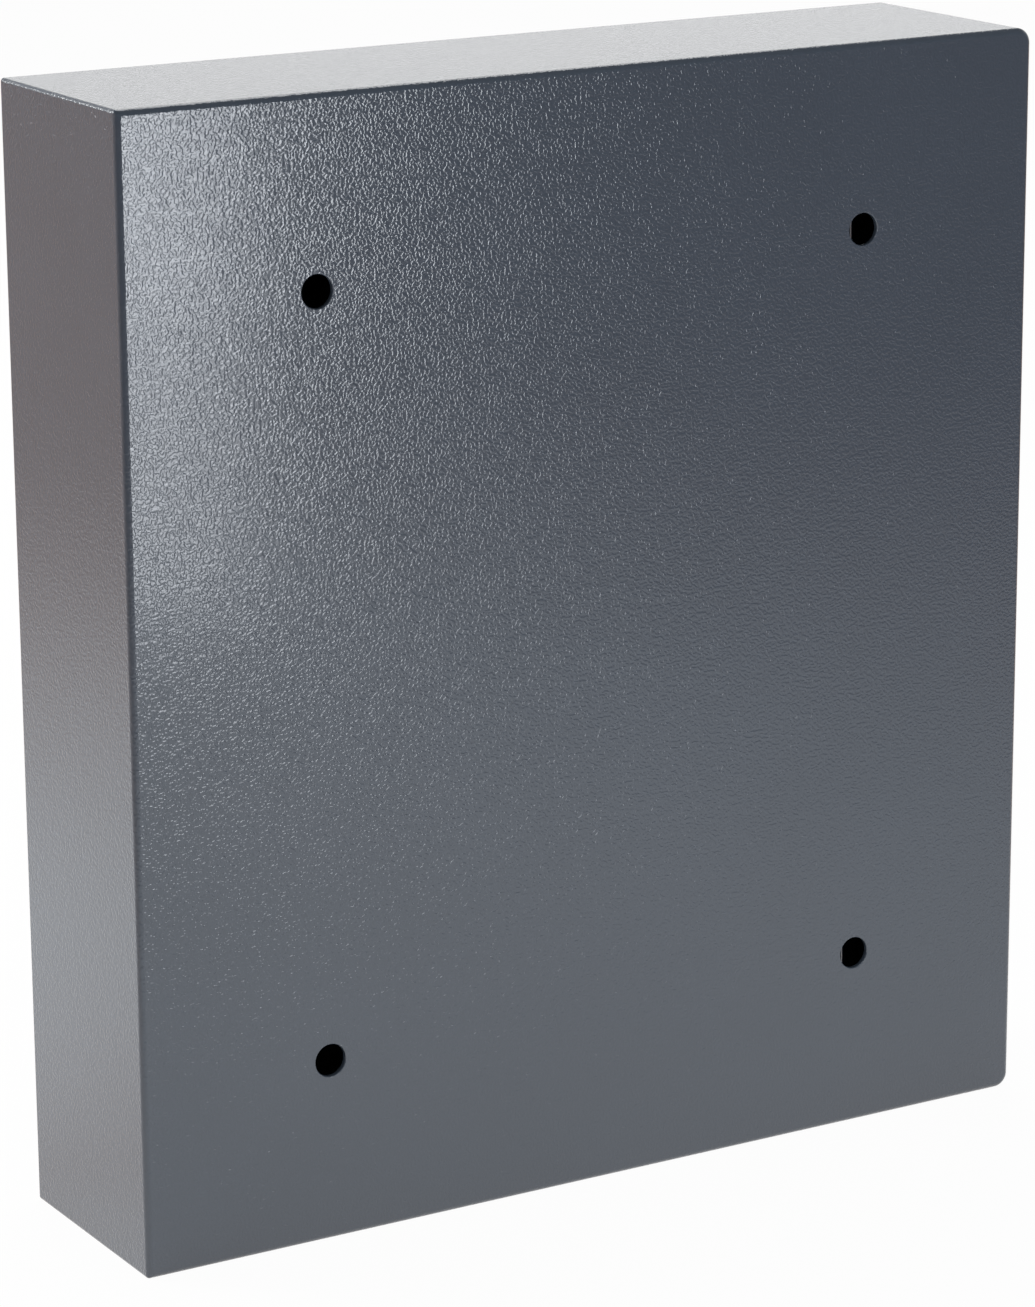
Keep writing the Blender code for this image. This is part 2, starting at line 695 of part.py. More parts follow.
def make_spindle_bush():
    bore = SPINDLE_RADIUS + SEAT_GAP
    flange = spindle_bush_radius + SPINDLE_BUSH_FLANGE
    flange_rear = seat + SPINDLE_BUSH_FLANGE
    profile = [(bore, -front), (spindle_bush_radius, -front), (spindle_bush_radius, -seat),
               (flange, -seat), (flange, -flange_rear), (bore, -flange_rear)]
    add_turned("spindle_bush", profile, "Y", (spindle_x, 0, spindle_z), "brass", "door")


def key_places():
    """Each key's name with the middle of its place on the panel."""
    places = []
    for row, names in enumerate(KEY_NAMES):
        for column, name in enumerate(names):
            x = panel_x + (column - (key_columns - 1) / 2) * (KEY_WIDTH + KEY_GAP_X)
            z = keys_top - KEY_HEIGHT / 2 - row * (KEY_HEIGHT + KEY_GAP_Z)
            places.append((name, x, z))
    return places


def make_keypad_housing():
    half_width, half_height = PANEL_WIDTH / 2, PANEL_HEIGHT / 2
    shape = rounded_block((panel_x - half_width, panel_front, -half_height),
                          (panel_x + half_width, panel_back, half_height), "Y", PANEL_CORNER, 5)
    round_rim(shape, "Y", panel_front, PANEL_EDGE, 2)
    housing = add_part("keypad_housing", shape, "black_plastic", "door", smooth=True)
    cavity_front = panel_front + PANEL_WALL
    cut(housing, rounded_block((panel_x - half_width + PANEL_WALL, cavity_front, -half_height + PANEL_WALL),
                               (panel_x + half_width - PANEL_WALL, panel_back + ROOM, half_height - PANEL_WALL),
                               "Y", PANEL_CORNER - PANEL_WALL, 4))
    through = (panel_front - ROOM, cavity_front + ROOM)
    for _, x, z in key_places():
        wide, high = KEY_WIDTH / 2 + SLIDE_GAP, KEY_HEIGHT / 2 + SLIDE_GAP
        cut(housing, box((x - wide, through[0], z - high), (x + wide, through[1], z + high)))
    wide, high = WINDOW_WIDTH / 2 + SEAT_GAP, WINDOW_HEIGHT / 2 + SEAT_GAP
    cut(housing, box((panel_x - wide, through[0], window_z - high), (panel_x + wide, through[1], window_z + high)))
    hole(housing, "Y", (spindle_x, spindle_z), *through, SPINDLE_RADIUS + SLIDE_GAP)
    hole(housing, "Y", (lock_x, lock_z), *through, CAP_RADIUS + SEAT_GAP)


def make_keys():
    for name, x, z in key_places():
        face = panel_front - KEY_PROUD
        key = rounded_block((x - KEY_WIDTH / 2, face, z - KEY_HEIGHT / 2),
                            (x + KEY_WIDTH / 2, face + KEY_DEPTH, z + KEY_HEIGHT / 2), "Y", KEY_EDGE, 2)
        round_rim(key, "Y", face, KEY_EDGE / 2, 1)
        add_part("key_" + name, key, "key_grey", "key_" + name)


def make_window_and_board():
    window = box((panel_x - WINDOW_WIDTH / 2, panel_front - WINDOW_PROUD, window_z - WINDOW_HEIGHT / 2),
                 (panel_x + WINDOW_WIDTH / 2, panel_front + PANEL_WALL, window_z + WINDOW_HEIGHT / 2))
    add_part("indicator_window", window, "window_smoke", "door")
    board = box((panel_x - keys_half_width - BOARD_MARGIN, board_front, board_bottom),
                (board_right, board_rear, window_z + WINDOW_HEIGHT / 2))
    add_part("key_board", board, "board_green", "door")


def make_key_lock():
    flange_front = panel_back - BARREL_FLANGE
    rim = BARREL_RADIUS + BARREL_RIM
    bore = PLUG_RADIUS + SEAT_GAP
    profile = [(bore, -flange_front), (rim, -flange_front), (rim, -panel_back), (BARREL_RADIUS, -panel_back),
               (BARREL_RADIUS, -barrel_rear), (bore, -barrel_rear)]
    add_turned("lock_barrel", profile, "Y", (lock_x, 0, lock_z), "bright_steel", "door")

    nut = rod("Y", (lock_x, lock_z), seat, seat + NUT_THICKNESS, NUT_RADIUS, NUT_SIDES)
    nut = add_part("lock_nut", nut, "zinc_steel", "door")
    hole(nut, "Y", (lock_x, lock_z), seat - ROOM, seat + NUT_THICKNESS + ROOM, BARREL_RADIUS + SEAT_GAP)

    plug_front = flange_front + SLIDE_GAP
    tail_rear = cam_rear + PLUG_TAIL
    shoulder = cam_front - SEAT_GAP
    profile = [(0, -plug_front), (PLUG_RADIUS, -plug_front), (PLUG_RADIUS, -shoulder),
               (PLUG_TAIL_RADIUS, -shoulder), (PLUG_TAIL_RADIUS, -tail_rear), (0, -tail_rear)]
    plug = add_turned("lock_plug", profile, "Y", (lock_x, 0, lock_z), "brass", "key_plug")
    cut(plug, box((lock_x - KEYWAY_WIDTH / 2, plug_front - ROOM, lock_z - KEYWAY_HEIGHT / 2),
                  (lock_x + KEYWAY_WIDTH / 2, plug_front + KEYWAY_DEPTH, lock_z + KEYWAY_HEIGHT / 2)))

    end = (lock_x, lock_z - CAM_LENGTH + CAM_WIDTH / 2)
    bore_outline = arc((lock_x, lock_z), PLUG_TAIL_RADIUS + SEAT_GAP, 0, 360 - 360 / SMALL_ROUND, SMALL_ROUND - 1)
    cam = plate([slot_outline((lock_x, lock_z), end, CAM_WIDTH / 2), bore_outline], cam_front, cam_rear)
    add_part("lock_cam", cam, "zinc_steel", "key_plug")

    face = panel_front - CAP_PROUD
    profile = [(0, -face), (CAP_RADIUS - CAP_PROUD, -face), (CAP_RADIUS, -panel_front),
               (CAP_RADIUS, -panel_front - CAP_DEPTH), (0, -panel_front - CAP_DEPTH)]
    add_turned("key_cap", profile, "Y", (lock_x, 0, lock_z), "black_plastic", "key_cap")


def spring_points():
    """Points of the return spring, a helix between the plunger's collar and the frame."""
    low = collar_top + SEAT_GAP + SPRING_WIRE
    rise = SPRING_LENGTH - 2 * SPRING_WIRE
    count = SPRING_TURNS * SPRING_STEPS
    points = []
    for step in range(count + 1):
        angle = 2 * math.pi * step / SPRING_STEPS
        points.append(Vector((plunger_x + SPRING_RADIUS * math.cos(angle),
                              plunger_y + SPRING_RADIUS * math.sin(angle), low + rise * step / count)))
    return points


def print_least_gap(points):
    """Prints the least free gap between turns of the spring."""
    least = min((first - second).length for i, first in enumerate(points)
                for second in points[i + SPRING_STEPS // 2:])
    print("spring: least gap between turns %.2f mm" % ((least - 2 * SPRING_WIRE) * 1000))


def add_tube(name, points, radius, finish, rig, resolution):
    curve = bpy.data.curves.new(name, "CURVE")
    curve.dimensions = "3D"
    curve.bevel_depth = radius
    curve.bevel_resolution = resolution
    curve.use_fill_caps = True
    spline = curve.splines.new("POLY")
    spline.points.add(len(points) - 1)
    for point, place in zip(spline.points, points):
        point.co = (*(place - rigs[rig]), 1)
    tube = bpy.data.objects.new(name, curve)
    parts.objects.link(tube)
    tube.data.materials.append(materials[finish])
    tube.parent = empties[rig]
    return tube


def make_solenoid():
    half_width = COIL_WIDTH / 2
    coil_front = plunger_y - COIL_DEPTH / 2
    coil_rear = plunger_y + COIL_DEPTH / 2
    bore = PLUNGER_RADIUS + SLIDE_GAP
    coil = rounded_block((plunger_x - half_width, coil_front, coil_bottom),
                         (plunger_x + half_width, coil_rear, coil_top), "Z", COIL_WIDTH / 4, 4)
    coil = add_part("solenoid_coil", coil, "coil_tape", "door", smooth=True)
    hole(coil, "Z", (plunger_x, plunger_y), coil_bottom - ROOM, coil_top + ROOM, bore, SMALL_ROUND)

    web = box((plunger_x - half_width, seat, frame_bottom),
              (plunger_x + half_width, seat + FRAME_SHEET, frame_top))
    frame = add_part("solenoid_frame", web, "zinc_steel", "door")
    for low in (frame_bottom, frame_top - FRAME_SHEET):
        join(frame, box((plunger_x - half_width, seat + FRAME_SHEET / 2, low),
                        (plunger_x + half_width, coil_rear, low + FRAME_SHEET)))
    hole(frame, "Z", (plunger_x, plunger_y), frame_bottom - ROOM, frame_top + ROOM, bore, SMALL_ROUND)

    profile = [(0, plunger_top), (PLUNGER_RADIUS, plunger_top), (PLUNGER_RADIUS, collar_top),
               (PLUNGER_COLLAR_RADIUS, collar_top), (PLUNGER_COLLAR_RADIUS, collar_bottom),
               (PLUNGER_RADIUS, collar_bottom), (PLUNGER_RADIUS, plunger_tip), (0, plunger_tip)]
    add_turned("solenoid_plunger", profile, "Z", (plunger_x, plunger_y, 0), "bright_steel", "plunger",
               SMALL_ROUND)
    points = spring_points()
    print_least_gap(points)
    add_tube("solenoid_spring", points, SPRING_WIRE, "bright_steel", "door", 1)


def screw_places():
    """Places of the four screws on the flanges above and below the lock cover."""
    xs = (cover_inner_left + SCREW_INSET, cover_inner_right - SCREW_INSET)
    zs = (cover_inner_bottom - COVER_SHEET - COVER_FLANGE / 2, cover_inner_top + COVER_SHEET + COVER_FLANGE / 2)
    return [(x, z) for z in zs for x in xs]


def make_lock_cover():
    left, right = cover_inner_left - COVER_SHEET, cover_inner_right + COVER_SHEET
    low, high = cover_inner_bottom - COVER_SHEET, cover_inner_top + COVER_SHEET
    tray = rounded_block((left, seat, low), (right, cover_rear, high), "Y", COVER_CORNER, 3)
    round_rim(tray, "Y", cover_rear, COVER_SHEET, 2)
    cover = add_part("lock_cover", tray, "slate_coat", "door")
    join(cover, box((left + COVER_CORNER, seat, low - COVER_FLANGE),
                    (right - COVER_CORNER, seat + COVER_SHEET, high + COVER_FLANGE)))
    cut(cover, rounded_block((cover_inner_left, seat - ROOM, cover_inner_bottom),
                             (cover_inner_right, cover_inner_rear, cover_inner_top),
                             "Y", COVER_CORNER - COVER_SHEET, 3))
    for z in bolt_heights.values():
        hole(cover, "X", (bolt_y, z), left - ROOM, cover_inner_left + ROOM, BOLT_RADIUS + SEAT_GAP)
    for x, z in screw_places():
        hole(cover, "Y", (x, z), seat - ROOM, seat + COVER_SHEET + ROOM, SCREW_RADIUS + SEAT_GAP, SMALL_ROUND)
    bay = HOLDER_WALL + CELL_GAP
    cut(cover, box((holder_left + bay, cover_inner_rear - ROOM, holder_bottom + bay),
                   (holder_right - bay, cover_rear + ROOM, holder_top - bay)))
    hole(cover, "Y", (reset_x, reset_z), cover_inner_rear - ROOM, cover_rear + ROOM, RESET_RADIUS + SEAT_GAP,
         SMALL_ROUND)


def make_cover_screws():
    under = -(seat + COVER_SHEET + SEAT_GAP)
    head = under - SCREW_HEAD
    profile = [(0, -door_back + SCREW_SEAT), (SCREW_RADIUS, -door_back + SCREW_SEAT), (SCREW_RADIUS, under),
               (SCREW_HEAD_RADIUS, under), (SCREW_HEAD_RADIUS, (under + head) / 2),
               (SCREW_HEAD_RADIUS / 2, head), (0, head)]
    for number, (x, z) in enumerate(screw_places(), 1):
        add_turned("cover_screw_%d" % number, profile, "Y", (x, 0, z), "zinc_steel", "door", SMALL_ROUND)


def make_batteries():
    shape = box((holder_left, holder_front, holder_bottom), (holder_right, holder_rear, holder_top))
    holder = add_part("battery_holder", shape, "black_plastic", "door")
    cut(holder, box((holder_left + HOLDER_WALL, holder_front + HOLDER_WALL, holder_bottom + HOLDER_WALL),
                    (holder_right - HOLDER_WALL, holder_rear + ROOM, holder_top - HOLDER_WALL)))
    start = holder_left + HOLDER_WALL + CONTACT_ROOM
    for number in range(CELL_COUNT):
        z = holder_bottom + HOLDER_WALL + CELL_GAP / 2 + cell_pitch * (number + 0.5)
        cell = rod("X", (cell_y, z), start, start + CELL_LENGTH, CELL_RADIUS)
        add_part("battery_cell_%d" % (number + 1), cell, "cell_sleeve", "door", smooth=True)

    lid_front = cover_rear + SEAT_GAP
    lid = rounded_block((holder_left - LID_MARGIN, lid_front, holder_bottom - LID_MARGIN),
                        (holder_right + LID_MARGIN, lid_front + LID_SHEET, holder_top + LID_MARGIN),
                        "Y", LID_CORNER)
    add_part("battery_cover", lid, "black_plastic", "battery_lid")


def make_reset_button():
    rim = RESET_RADIUS + RESET_RIM
    rim_rear = cover_inner_rear - SEAT_GAP
    rim_front = rim_rear - RESET_RIM
    profile = [(0, -rim_front), (rim, -rim_front), (rim, -rim_rear), (RESET_RADIUS, -rim_rear),
               (RESET_RADIUS, -cover_rear - RESET_PROUD), (0, -cover_rear - RESET_PROUD)]
    add_turned("reset_button", profile, "Y", (reset_x, 0, reset_z), "reset_red", "reset", SMALL_ROUND)


def smooth_route(points, steps):
    """Points of a smooth curve through the route's own points."""
    padded = [2 * points[0] - points[1]] + points + [2 * points[-1] - points[-2]]
    route = []
    for before, start, end, after in zip(padded, padded[1:], padded[2:], padded[3:]):
        for step in range(steps):
            t = step / steps
            route.append(0.5 * (2 * start + (end - before) * t
                                + (2 * before - 5 * start + 4 * end - after) * t ** 2
                                + (3 * start - before - 3 * end + after) * t ** 3))
    return route + [points[-1]]


def make_lead():
    end_z = (holder_bottom + holder_top) / 2
    end_y = (holder_front + holder_rear) / 2
    route = [Vector((lead_x, board_rear + SEAT_GAP, lead_z)),
             Vector((lead_x, (front + door_back) / 2, lead_z)),
             Vector((lead_x, door_back + LEAD_BEND / 2, lead_z)),
             Vector((lead_x, (door_back + end_y) / 2, (lead_z + end_z) / 2)),
             Vector((holder_right + LEAD_BEND, end_y, end_z)),
             Vector((holder_right + LEAD_BEND / 2, end_y, end_z)),
             Vector((holder_right + SEAT_GAP, end_y, end_z))]
    add_tube("keypad_lead", smooth_route(route, LEAD_STEPS), LEAD_RADIUS, "lead_black", "door", 2)


clear_scene()
parts = new_collection("wall_safe")
cutters = new_collection("wall_safe_cutters")
materials = {name: make_finish(name) for name in FINISHES}
for key_name, key_x, key_z in key_places():
    rigs["key_" + key_name] = Vector((key_x, panel_front, key_z))
empties = add_rigs()

make_body_shell()
make_floor_mat()
make_hinge("upper", 1)
make_hinge("lower", -1)
make_door_panel()
make_bolts()
make_carriage()
make_bolt_guide()
make_guide_studs()
make_knob()
make_crank()
make_spindle_bush()
make_keypad_housing()
make_keys()
make_window_and_board()
make_key_lock()
make_solenoid()
make_lock_cover()
make_cover_screws()
make_batteries()
make_reset_button()
make_lead()
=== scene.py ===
# %% [markdown]
# # A slim wall safe
#
# The frame holds every solid of the safe at its real size, in metres: the wall lies behind it at Y = 0,
# the door looks along -Y, and Z is up. Its meshes are coarse, with sharp edges and few facets. This
# lesson gives each of them its looks: finer meshes with soft edges, powder coat, plated steel, moulded
# plastic and felt, and a white studio to see them in. Nothing is moved, because a piece that replaces a
# solid has to work like it.

# %% Load the frame
import json
import math

import bmesh
import bpy
from mathutils import Matrix, Vector


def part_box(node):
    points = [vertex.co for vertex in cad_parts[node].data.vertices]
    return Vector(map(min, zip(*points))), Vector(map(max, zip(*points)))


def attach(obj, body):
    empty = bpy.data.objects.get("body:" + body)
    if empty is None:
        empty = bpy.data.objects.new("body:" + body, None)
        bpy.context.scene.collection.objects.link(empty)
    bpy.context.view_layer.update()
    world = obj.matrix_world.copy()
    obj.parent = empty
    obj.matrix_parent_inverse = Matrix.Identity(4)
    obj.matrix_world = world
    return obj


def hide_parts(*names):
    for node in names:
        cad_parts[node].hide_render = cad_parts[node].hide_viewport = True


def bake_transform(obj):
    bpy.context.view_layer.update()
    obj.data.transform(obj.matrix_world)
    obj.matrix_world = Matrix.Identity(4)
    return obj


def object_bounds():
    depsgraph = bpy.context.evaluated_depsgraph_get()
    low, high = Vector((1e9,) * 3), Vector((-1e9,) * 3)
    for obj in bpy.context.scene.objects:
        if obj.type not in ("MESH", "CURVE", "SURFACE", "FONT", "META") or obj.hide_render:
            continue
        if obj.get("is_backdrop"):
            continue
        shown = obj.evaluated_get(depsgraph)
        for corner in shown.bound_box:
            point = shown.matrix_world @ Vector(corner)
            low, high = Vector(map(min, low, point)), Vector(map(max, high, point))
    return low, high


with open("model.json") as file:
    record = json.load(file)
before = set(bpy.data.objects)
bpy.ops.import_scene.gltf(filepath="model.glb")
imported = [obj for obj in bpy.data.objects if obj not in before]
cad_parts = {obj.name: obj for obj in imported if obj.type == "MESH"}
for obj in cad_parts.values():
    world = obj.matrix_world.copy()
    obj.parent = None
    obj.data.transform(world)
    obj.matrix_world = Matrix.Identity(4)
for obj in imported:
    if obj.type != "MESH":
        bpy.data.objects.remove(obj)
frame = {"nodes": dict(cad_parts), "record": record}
cad_low, cad_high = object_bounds()
MM = 0.001

# %% [markdown]
# ## The camera
#
# The photographer stood behind the safe, to the left and above it, so the picture shows the back, the top
# and one side. The camera was found by matching the corners and fixing holes of the frame to the picture.
# It could be a turned Euler angle, but a place and a point to aim at are easier to read, with a small
# roll at the end.

# %% Place the camera
CAMERA_PLACE = Vector((0.7535, 1.2243, 0.3864))
CAMERA_AIM = Vector((0.0305, 0.0, 0.0))
CAMERA_ROLL = math.radians(-0.36)
LENS_MM = 129.1

lens = bpy.data.cameras.new("camera")
lens.lens = LENS_MM
lens.sensor_width = 36
camera = bpy.data.objects.new("camera", lens)
bpy.context.scene.collection.objects.link(camera)
camera.location = CAMERA_PLACE
camera.rotation_euler = (CAMERA_AIM - CAMERA_PLACE).to_track_quat("-Z", "Y").to_euler()
camera.rotation_euler.rotate_axis("Z", CAMERA_ROLL)
bpy.context.scene.camera = camera
print("camera: %.2f m from the safe" % CAMERA_PLACE.length)

# %% [markdown]
# ## Writing shaders as sums
#
# A finish is a small calculation: so much noise, times a mask, plus a base value. Node by node that is
# long to write and hard to read. This class wraps one socket, and Python's operators on it add the Math
# nodes. Any other node comes from its node() method, which sets the node up first and then fills its
# sockets. The same method builds the geometry trees further down.

# %% A socket that can be calculated with
class Signal:
    """One socket of a node tree. Operators on it add Math nodes, and node() adds any other node."""

    def __init__(self, tree, socket=None):
        self.tree = tree
        self.socket = socket

    def node(self, kind, settings=None, sockets=None, output=0):
        made = self.tree.nodes.new(kind)
        for name, value in (settings or {}).items():
            setattr(made, name, value)
        for name, value in (sockets or {}).items():
            if isinstance(value, Signal):
                self.tree.links.new(value.socket, made.inputs[name])
            else:
                made.inputs[name].default_value = value
        return Signal(self.tree, made.outputs[output] if made.outputs else None)

    def math(self, operation, first, second):
        return self.node("ShaderNodeMath", {"operation": operation}, {0: first, 1: second})

    def __add__(self, other):
        return self.math("ADD", self, other)

    def __radd__(self, other):
        return self.math("ADD", other, self)

    def __sub__(self, other):
        return self.math("SUBTRACT", self, other)

    def __rsub__(self, other):
        return self.math("SUBTRACT", other, self)

    def __mul__(self, other):
        return self.math("MULTIPLY", self, other)

    def __rmul__(self, other):
        return self.math("MULTIPLY", other, self)


print("signal: operators + - * in both orders")

# %% [markdown]
# ## The studio
#
# The picture is a cut-out: pure white all round. White that came from more light would wash the dark
# paint out, so the world is white only for rays that come from the camera or through glass. Shiny
# surfaces see a white backdrop behind the safe, near the horizon, and a dim room on all other sides. That
# leaves the top bright, where the paint is seen at a flat angle, and a dark line along its fold. All
# other rays meet a plain grey level that lights the object softly.

# %% The world
AMBIENT = 0.34
ROOM = 0.20

world = bpy.data.worlds.new("studio")
world.use_nodes = True
world.node_tree.nodes.clear()
sky = Signal(world.node_tree)


def fade(start, value, full, none):
    """1 at one level of a value and 0 at another, with a smooth step between them."""
    return start.node("ShaderNodeMapRange", {"interpolation_type": "SMOOTHSTEP"},
                      {"Value": value, "From Min": full, "From Max": none, "To Min": 1.0, "To Max": 0.0})


def ray(start, kind):
    """1 for rays of one kind and 0 for all others."""
    return start.node("ShaderNodeLightPath", output="Is %s Ray" % kind)


seen = ray(sky, "Camera")
through = ray(sky, "Transmission")
mirrored = ray(sky, "Glossy")
direction = sky.node("ShaderNodeTexCoord", output="Generated")
depth = sky.node("ShaderNodeSeparateXYZ", None, {"Vector": direction}, "Y")
height = sky.node("ShaderNodeSeparateXYZ", None, {"Vector": direction}, "Z")
backdrop = ROOM + (1 - ROOM) * (fade(sky, height, 0.25, 0.75) * fade(sky, depth, -0.15, 0.35))
white = sky.math("MAXIMUM", seen, through)
level = white + (1 - white) * (mirrored * backdrop + (1 - mirrored) * AMBIENT)
background = sky.node("ShaderNodeBackground", None, {"Color": (1, 1, 1, 1), "Strength": level})
sky.node("ShaderNodeOutputWorld", None, {"Surface": background})
bpy.context.scene.world = world
bpy.context.scene.view_settings.view_transform = "Standard"
print("world: ambient", AMBIENT, "room", ROOM)

# %% [markdown]
# ## The floor
#
# The safe stands on a white table. Most of what the camera sees of it is plain white, and the rest is a
# matt white surface that takes light and shadow, so a soft shadow stays under the safe. Shiny surfaces
# see the table as it is lit in the picture: one pool of light before the back and one beside the left
# side, with the dim room beyond. They make the lower half of the back and of the side brighter than the
# upper half.

# %% The floor
FLOOR_SIZE = 6.0
FLOOR_WHITE = 0.86
FLOOR_GLOW = 0.97
FAR_ROOM = 0.68
WARM = (1.0, 0.72, 0.58, 1.0)

floor_mesh = bpy.data.meshes.new("floor")
corners = [(side * FLOOR_SIZE, end * FLOOR_SIZE, cad_low.z - 0.1 * MM)
           for side, end in ((-1, -1), (1, -1), (1, 1), (-1, 1))]
floor_mesh.from_pydata(corners, [], [(0, 1, 2, 3)])
floor = bpy.data.objects.new("floor", floor_mesh)
bpy.context.scene.collection.objects.link(floor)
floor_paint = bpy.data.materials.new("floor_white")
floor_paint.use_nodes = True
floor_paint.node_tree.nodes.clear()
paint = Signal(floor_paint.node_tree)
on_table = paint.node("ShaderNodeTexCoord", output="Object")


def pool(across, along, reach, bright):
    """A round pool of light on the table, brightest in its middle."""
    away = paint.node("ShaderNodeVectorMath", {"operation": "DISTANCE"},
                      {0: on_table, 1: (across, along, cad_low.z)}, "Value")
    return bright * fade(paint, away, 0.0, reach)


table_seen = ray(paint, "Camera")
behind = fade(paint, paint.node("ShaderNodeSeparateXYZ", None, {"Vector": on_table}, "Y"), -0.3, 0.4)
room = ROOM + (FAR_ROOM - ROOM) * behind
back_pool = pool(across=0.0, along=0.4, reach=1.2, bright=1.3)
side_pool = pool(across=0.25, along=-0.35, reach=0.90, bright=0.95)
pools = paint.math("MAXIMUM", back_pool, side_pool)
tint = paint.node("ShaderNodeMix", {"data_type": "RGBA"},
                  {0: paint.math("MAXIMUM", table_seen, pools), 6: WARM, 7: (1, 1, 1, 1)}, 2)
matt = paint.node("ShaderNodeBsdfDiffuse", None, {"Color": (FLOOR_WHITE, FLOOR_WHITE, FLOOR_WHITE, 1)})
strength = table_seen + (1 - table_seen) * (room + pools)
glow = paint.node("ShaderNodeEmission", None, {"Color": tint, "Strength": strength})
share = paint.math("MAXIMUM", table_seen, ray(paint, "Glossy")) * FLOOR_GLOW
surface = paint.node("ShaderNodeMixShader", None, {0: share, 1: matt, 2: glow})
paint.node("ShaderNodeOutputMaterial", None, {"Surface": surface})
floor_mesh.materials.append(floor_paint)
floor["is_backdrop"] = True
print("floor: at z %.4f m" % cad_low.z)

# %% [markdown]
# ## The lamps
#
# A tall window of daylight stands to the right of the camera, low down and fainter towards the table. Its
# reflection is the glow at the upper left of the back, so it is two soft boxes, one over the other. Three
# wide and weak ones light the left side and the door, the top from far behind, and the door from above.

# %% Five soft boxes
DAYLIGHT = (0.91, 0.95, 1.0)


def soft_box(name, place, aim, width, height, power, colour=(1, 1, 1)):
    """A lamp with a flat lit face, turned towards a point."""
    lamp = bpy.data.lights.new(name, "AREA")
    lamp.shape = "RECTANGLE"
    lamp.size = width
    lamp.size_y = height
    lamp.energy = power
    lamp.color = colour
    holder = bpy.data.objects.new(name, lamp)
    holder.location = place
    holder.rotation_euler = (Vector(aim) - Vector(place)).to_track_quat("-Z", "Y").to_euler()
    holder.visible_camera = False
    bpy.context.scene.collection.objects.link(holder)


soft_box("window_top", (-0.15, 0.70, 0.10), (0.10, 0, 0.10), 0.14, 0.26, 1.30, DAYLIGHT)
soft_box("window_foot", (-0.15, 0.70, -0.10), (0.10, 0, 0.10), 0.14, 0.14, 0.47, DAYLIGHT)
soft_box("side_box", (1.30, -1.30, 0.70), (0.10, -0.06, 0), 0.80, 0.80, 26)
soft_box("back_box", (-0.80, -1.90, 0.46), (0, -0.04, 0.18), 2.40, 0.80, 2.2)
soft_box("front_box", (-0.50, -1.00, 1.60), (0, -0.04, 0), 1.20, 1.20, 14)

# %% [markdown]
# ## Shared steps of a finish
#
# Every finish starts with an empty tree and ends in one Principled shader. The colours come from the
# record in the frame, so that a colour is written once. Patterns read Object coordinates: all pieces sit
# at the origin with their place in the mesh, so a pattern has the same scale on each of them.

# %% Helpers for finishes
colours = {row["slot"]: tuple(row["base_color"]) for row in frame["record"]["materials"]}


def new_finish(name):
    material = bpy.data.materials.new(name)
    material.use_nodes = True
    material.node_tree.nodes.clear()
    return material, Signal(material.node_tree)


def place_on(start, stretch=(1, 1, 1)):
    """Object coordinates, stretched for a pattern that runs one way."""
    where = start.node("ShaderNodeTexCoord", output="Object")
    if stretch == (1, 1, 1):
        return where
    return start.node("ShaderNodeVectorMath", {"operation": "MULTIPLY"}, {0: where, 1: stretch})


def noise(start, size, detail=2.0, distortion=0.0, stretch=(1, 1, 1)):
    """Noise from 0 to 1 whose lumps are about the given size."""
    return start.node("ShaderNodeTexNoise", None, {"Vector": place_on(start, stretch), "Scale": 1 / size,
                                                   "Detail": detail, "Distortion": distortion})


def shade(colour, factor):
    return tuple(part * factor for part in colour) + (1.0,)


def between(start, share, first, second):
    """A colour between two others."""
    return start.node("ShaderNodeMix", {"data_type": "RGBA"}, {0: share, 6: first, 7: second}, 2)


def mottled(start, share, base, dark, light):
    """A colour that wanders between a darker and a lighter shade of its base."""
    return between(start, share, shade(base, dark), shade(base, light))


def relief(start, height, depth):
    """A bump of that depth in metres."""
    return start.node("ShaderNodeBump", None, {"Height": height, "Distance": depth}, "Normal")


def end_finish(start, sockets):
    shader = start.node("ShaderNodeBsdfPrincipled", None, sockets)
    start.node("ShaderNodeOutputMaterial", None, {"Surface": shader})


print("colours:", len(colours), "slots")

# %% [markdown]
# ## Powder coat
#
# The sheet is sprayed with a dry powder and baked. This one shrinks into fine wrinkles while it cures,
# like the grain of leather: low worms about two millimetres long and one wide. They catch the
# lamp's light one by one, so the glow on the back looks like a field of small glints. Real geometry for
# them would take millions of faces, so they are a bump: smooth noise with a warp, with its middle levels
# pulled apart, so that its hills join into worms with flat tops. A finer noise on top is the peel that
# any sprayed coat has.

# %% The slate powder coat
WRINKLE = 0.95 * MM
WRINKLE_DEPTH = 0.040 * MM
COAT_TINT = (0.80, 0.90, 1.02)
PEEL = 0.35 * MM
WORM_LEVELS = (0.66, 0.34)
COAT_CLOUD = 60 * MM


def make_slate_coat():
    material, start = new_finish("slate_coat")
    lumps = noise(start, WRINKLE, 0.0, 0.5)
    worms = fade(start, lumps, *WORM_LEVELS)
    peel = noise(start, PEEL, 1.0)
    cloud = noise(start, COAT_CLOUD)
    base = tuple(part * tint for part, tint in zip(colours["slate_coat"], COAT_TINT))
    end_finish(start, {"Base Color": mottled(start, cloud, base, 0.94, 1.06),
                       "Roughness": 0.11 + 0.05 * peel, "IOR": 1.6,
                       "Normal": relief(start, worms + 0.06 * peel, WRINKLE_DEPTH)})
    return material


slate_coat = make_slate_coat()
print("slate coat: wrinkles every %.2f mm" % (WRINKLE / MM))

# %% [markdown]
# ## Metals
#
# Plated sheet keeps the rolling lines of the steel under its zinc and is a little blue. Turned steel and
# brass carry the fine rings that the tool left, square to the axis they were turned on. Both are
# stretched noise: one direction is squeezed until the lumps become lines.

# %% Zinc plate, turned steel and turned brass
ROLLING = (30, 1500, 1500)
TOOL_MARK = 0.12 * MM


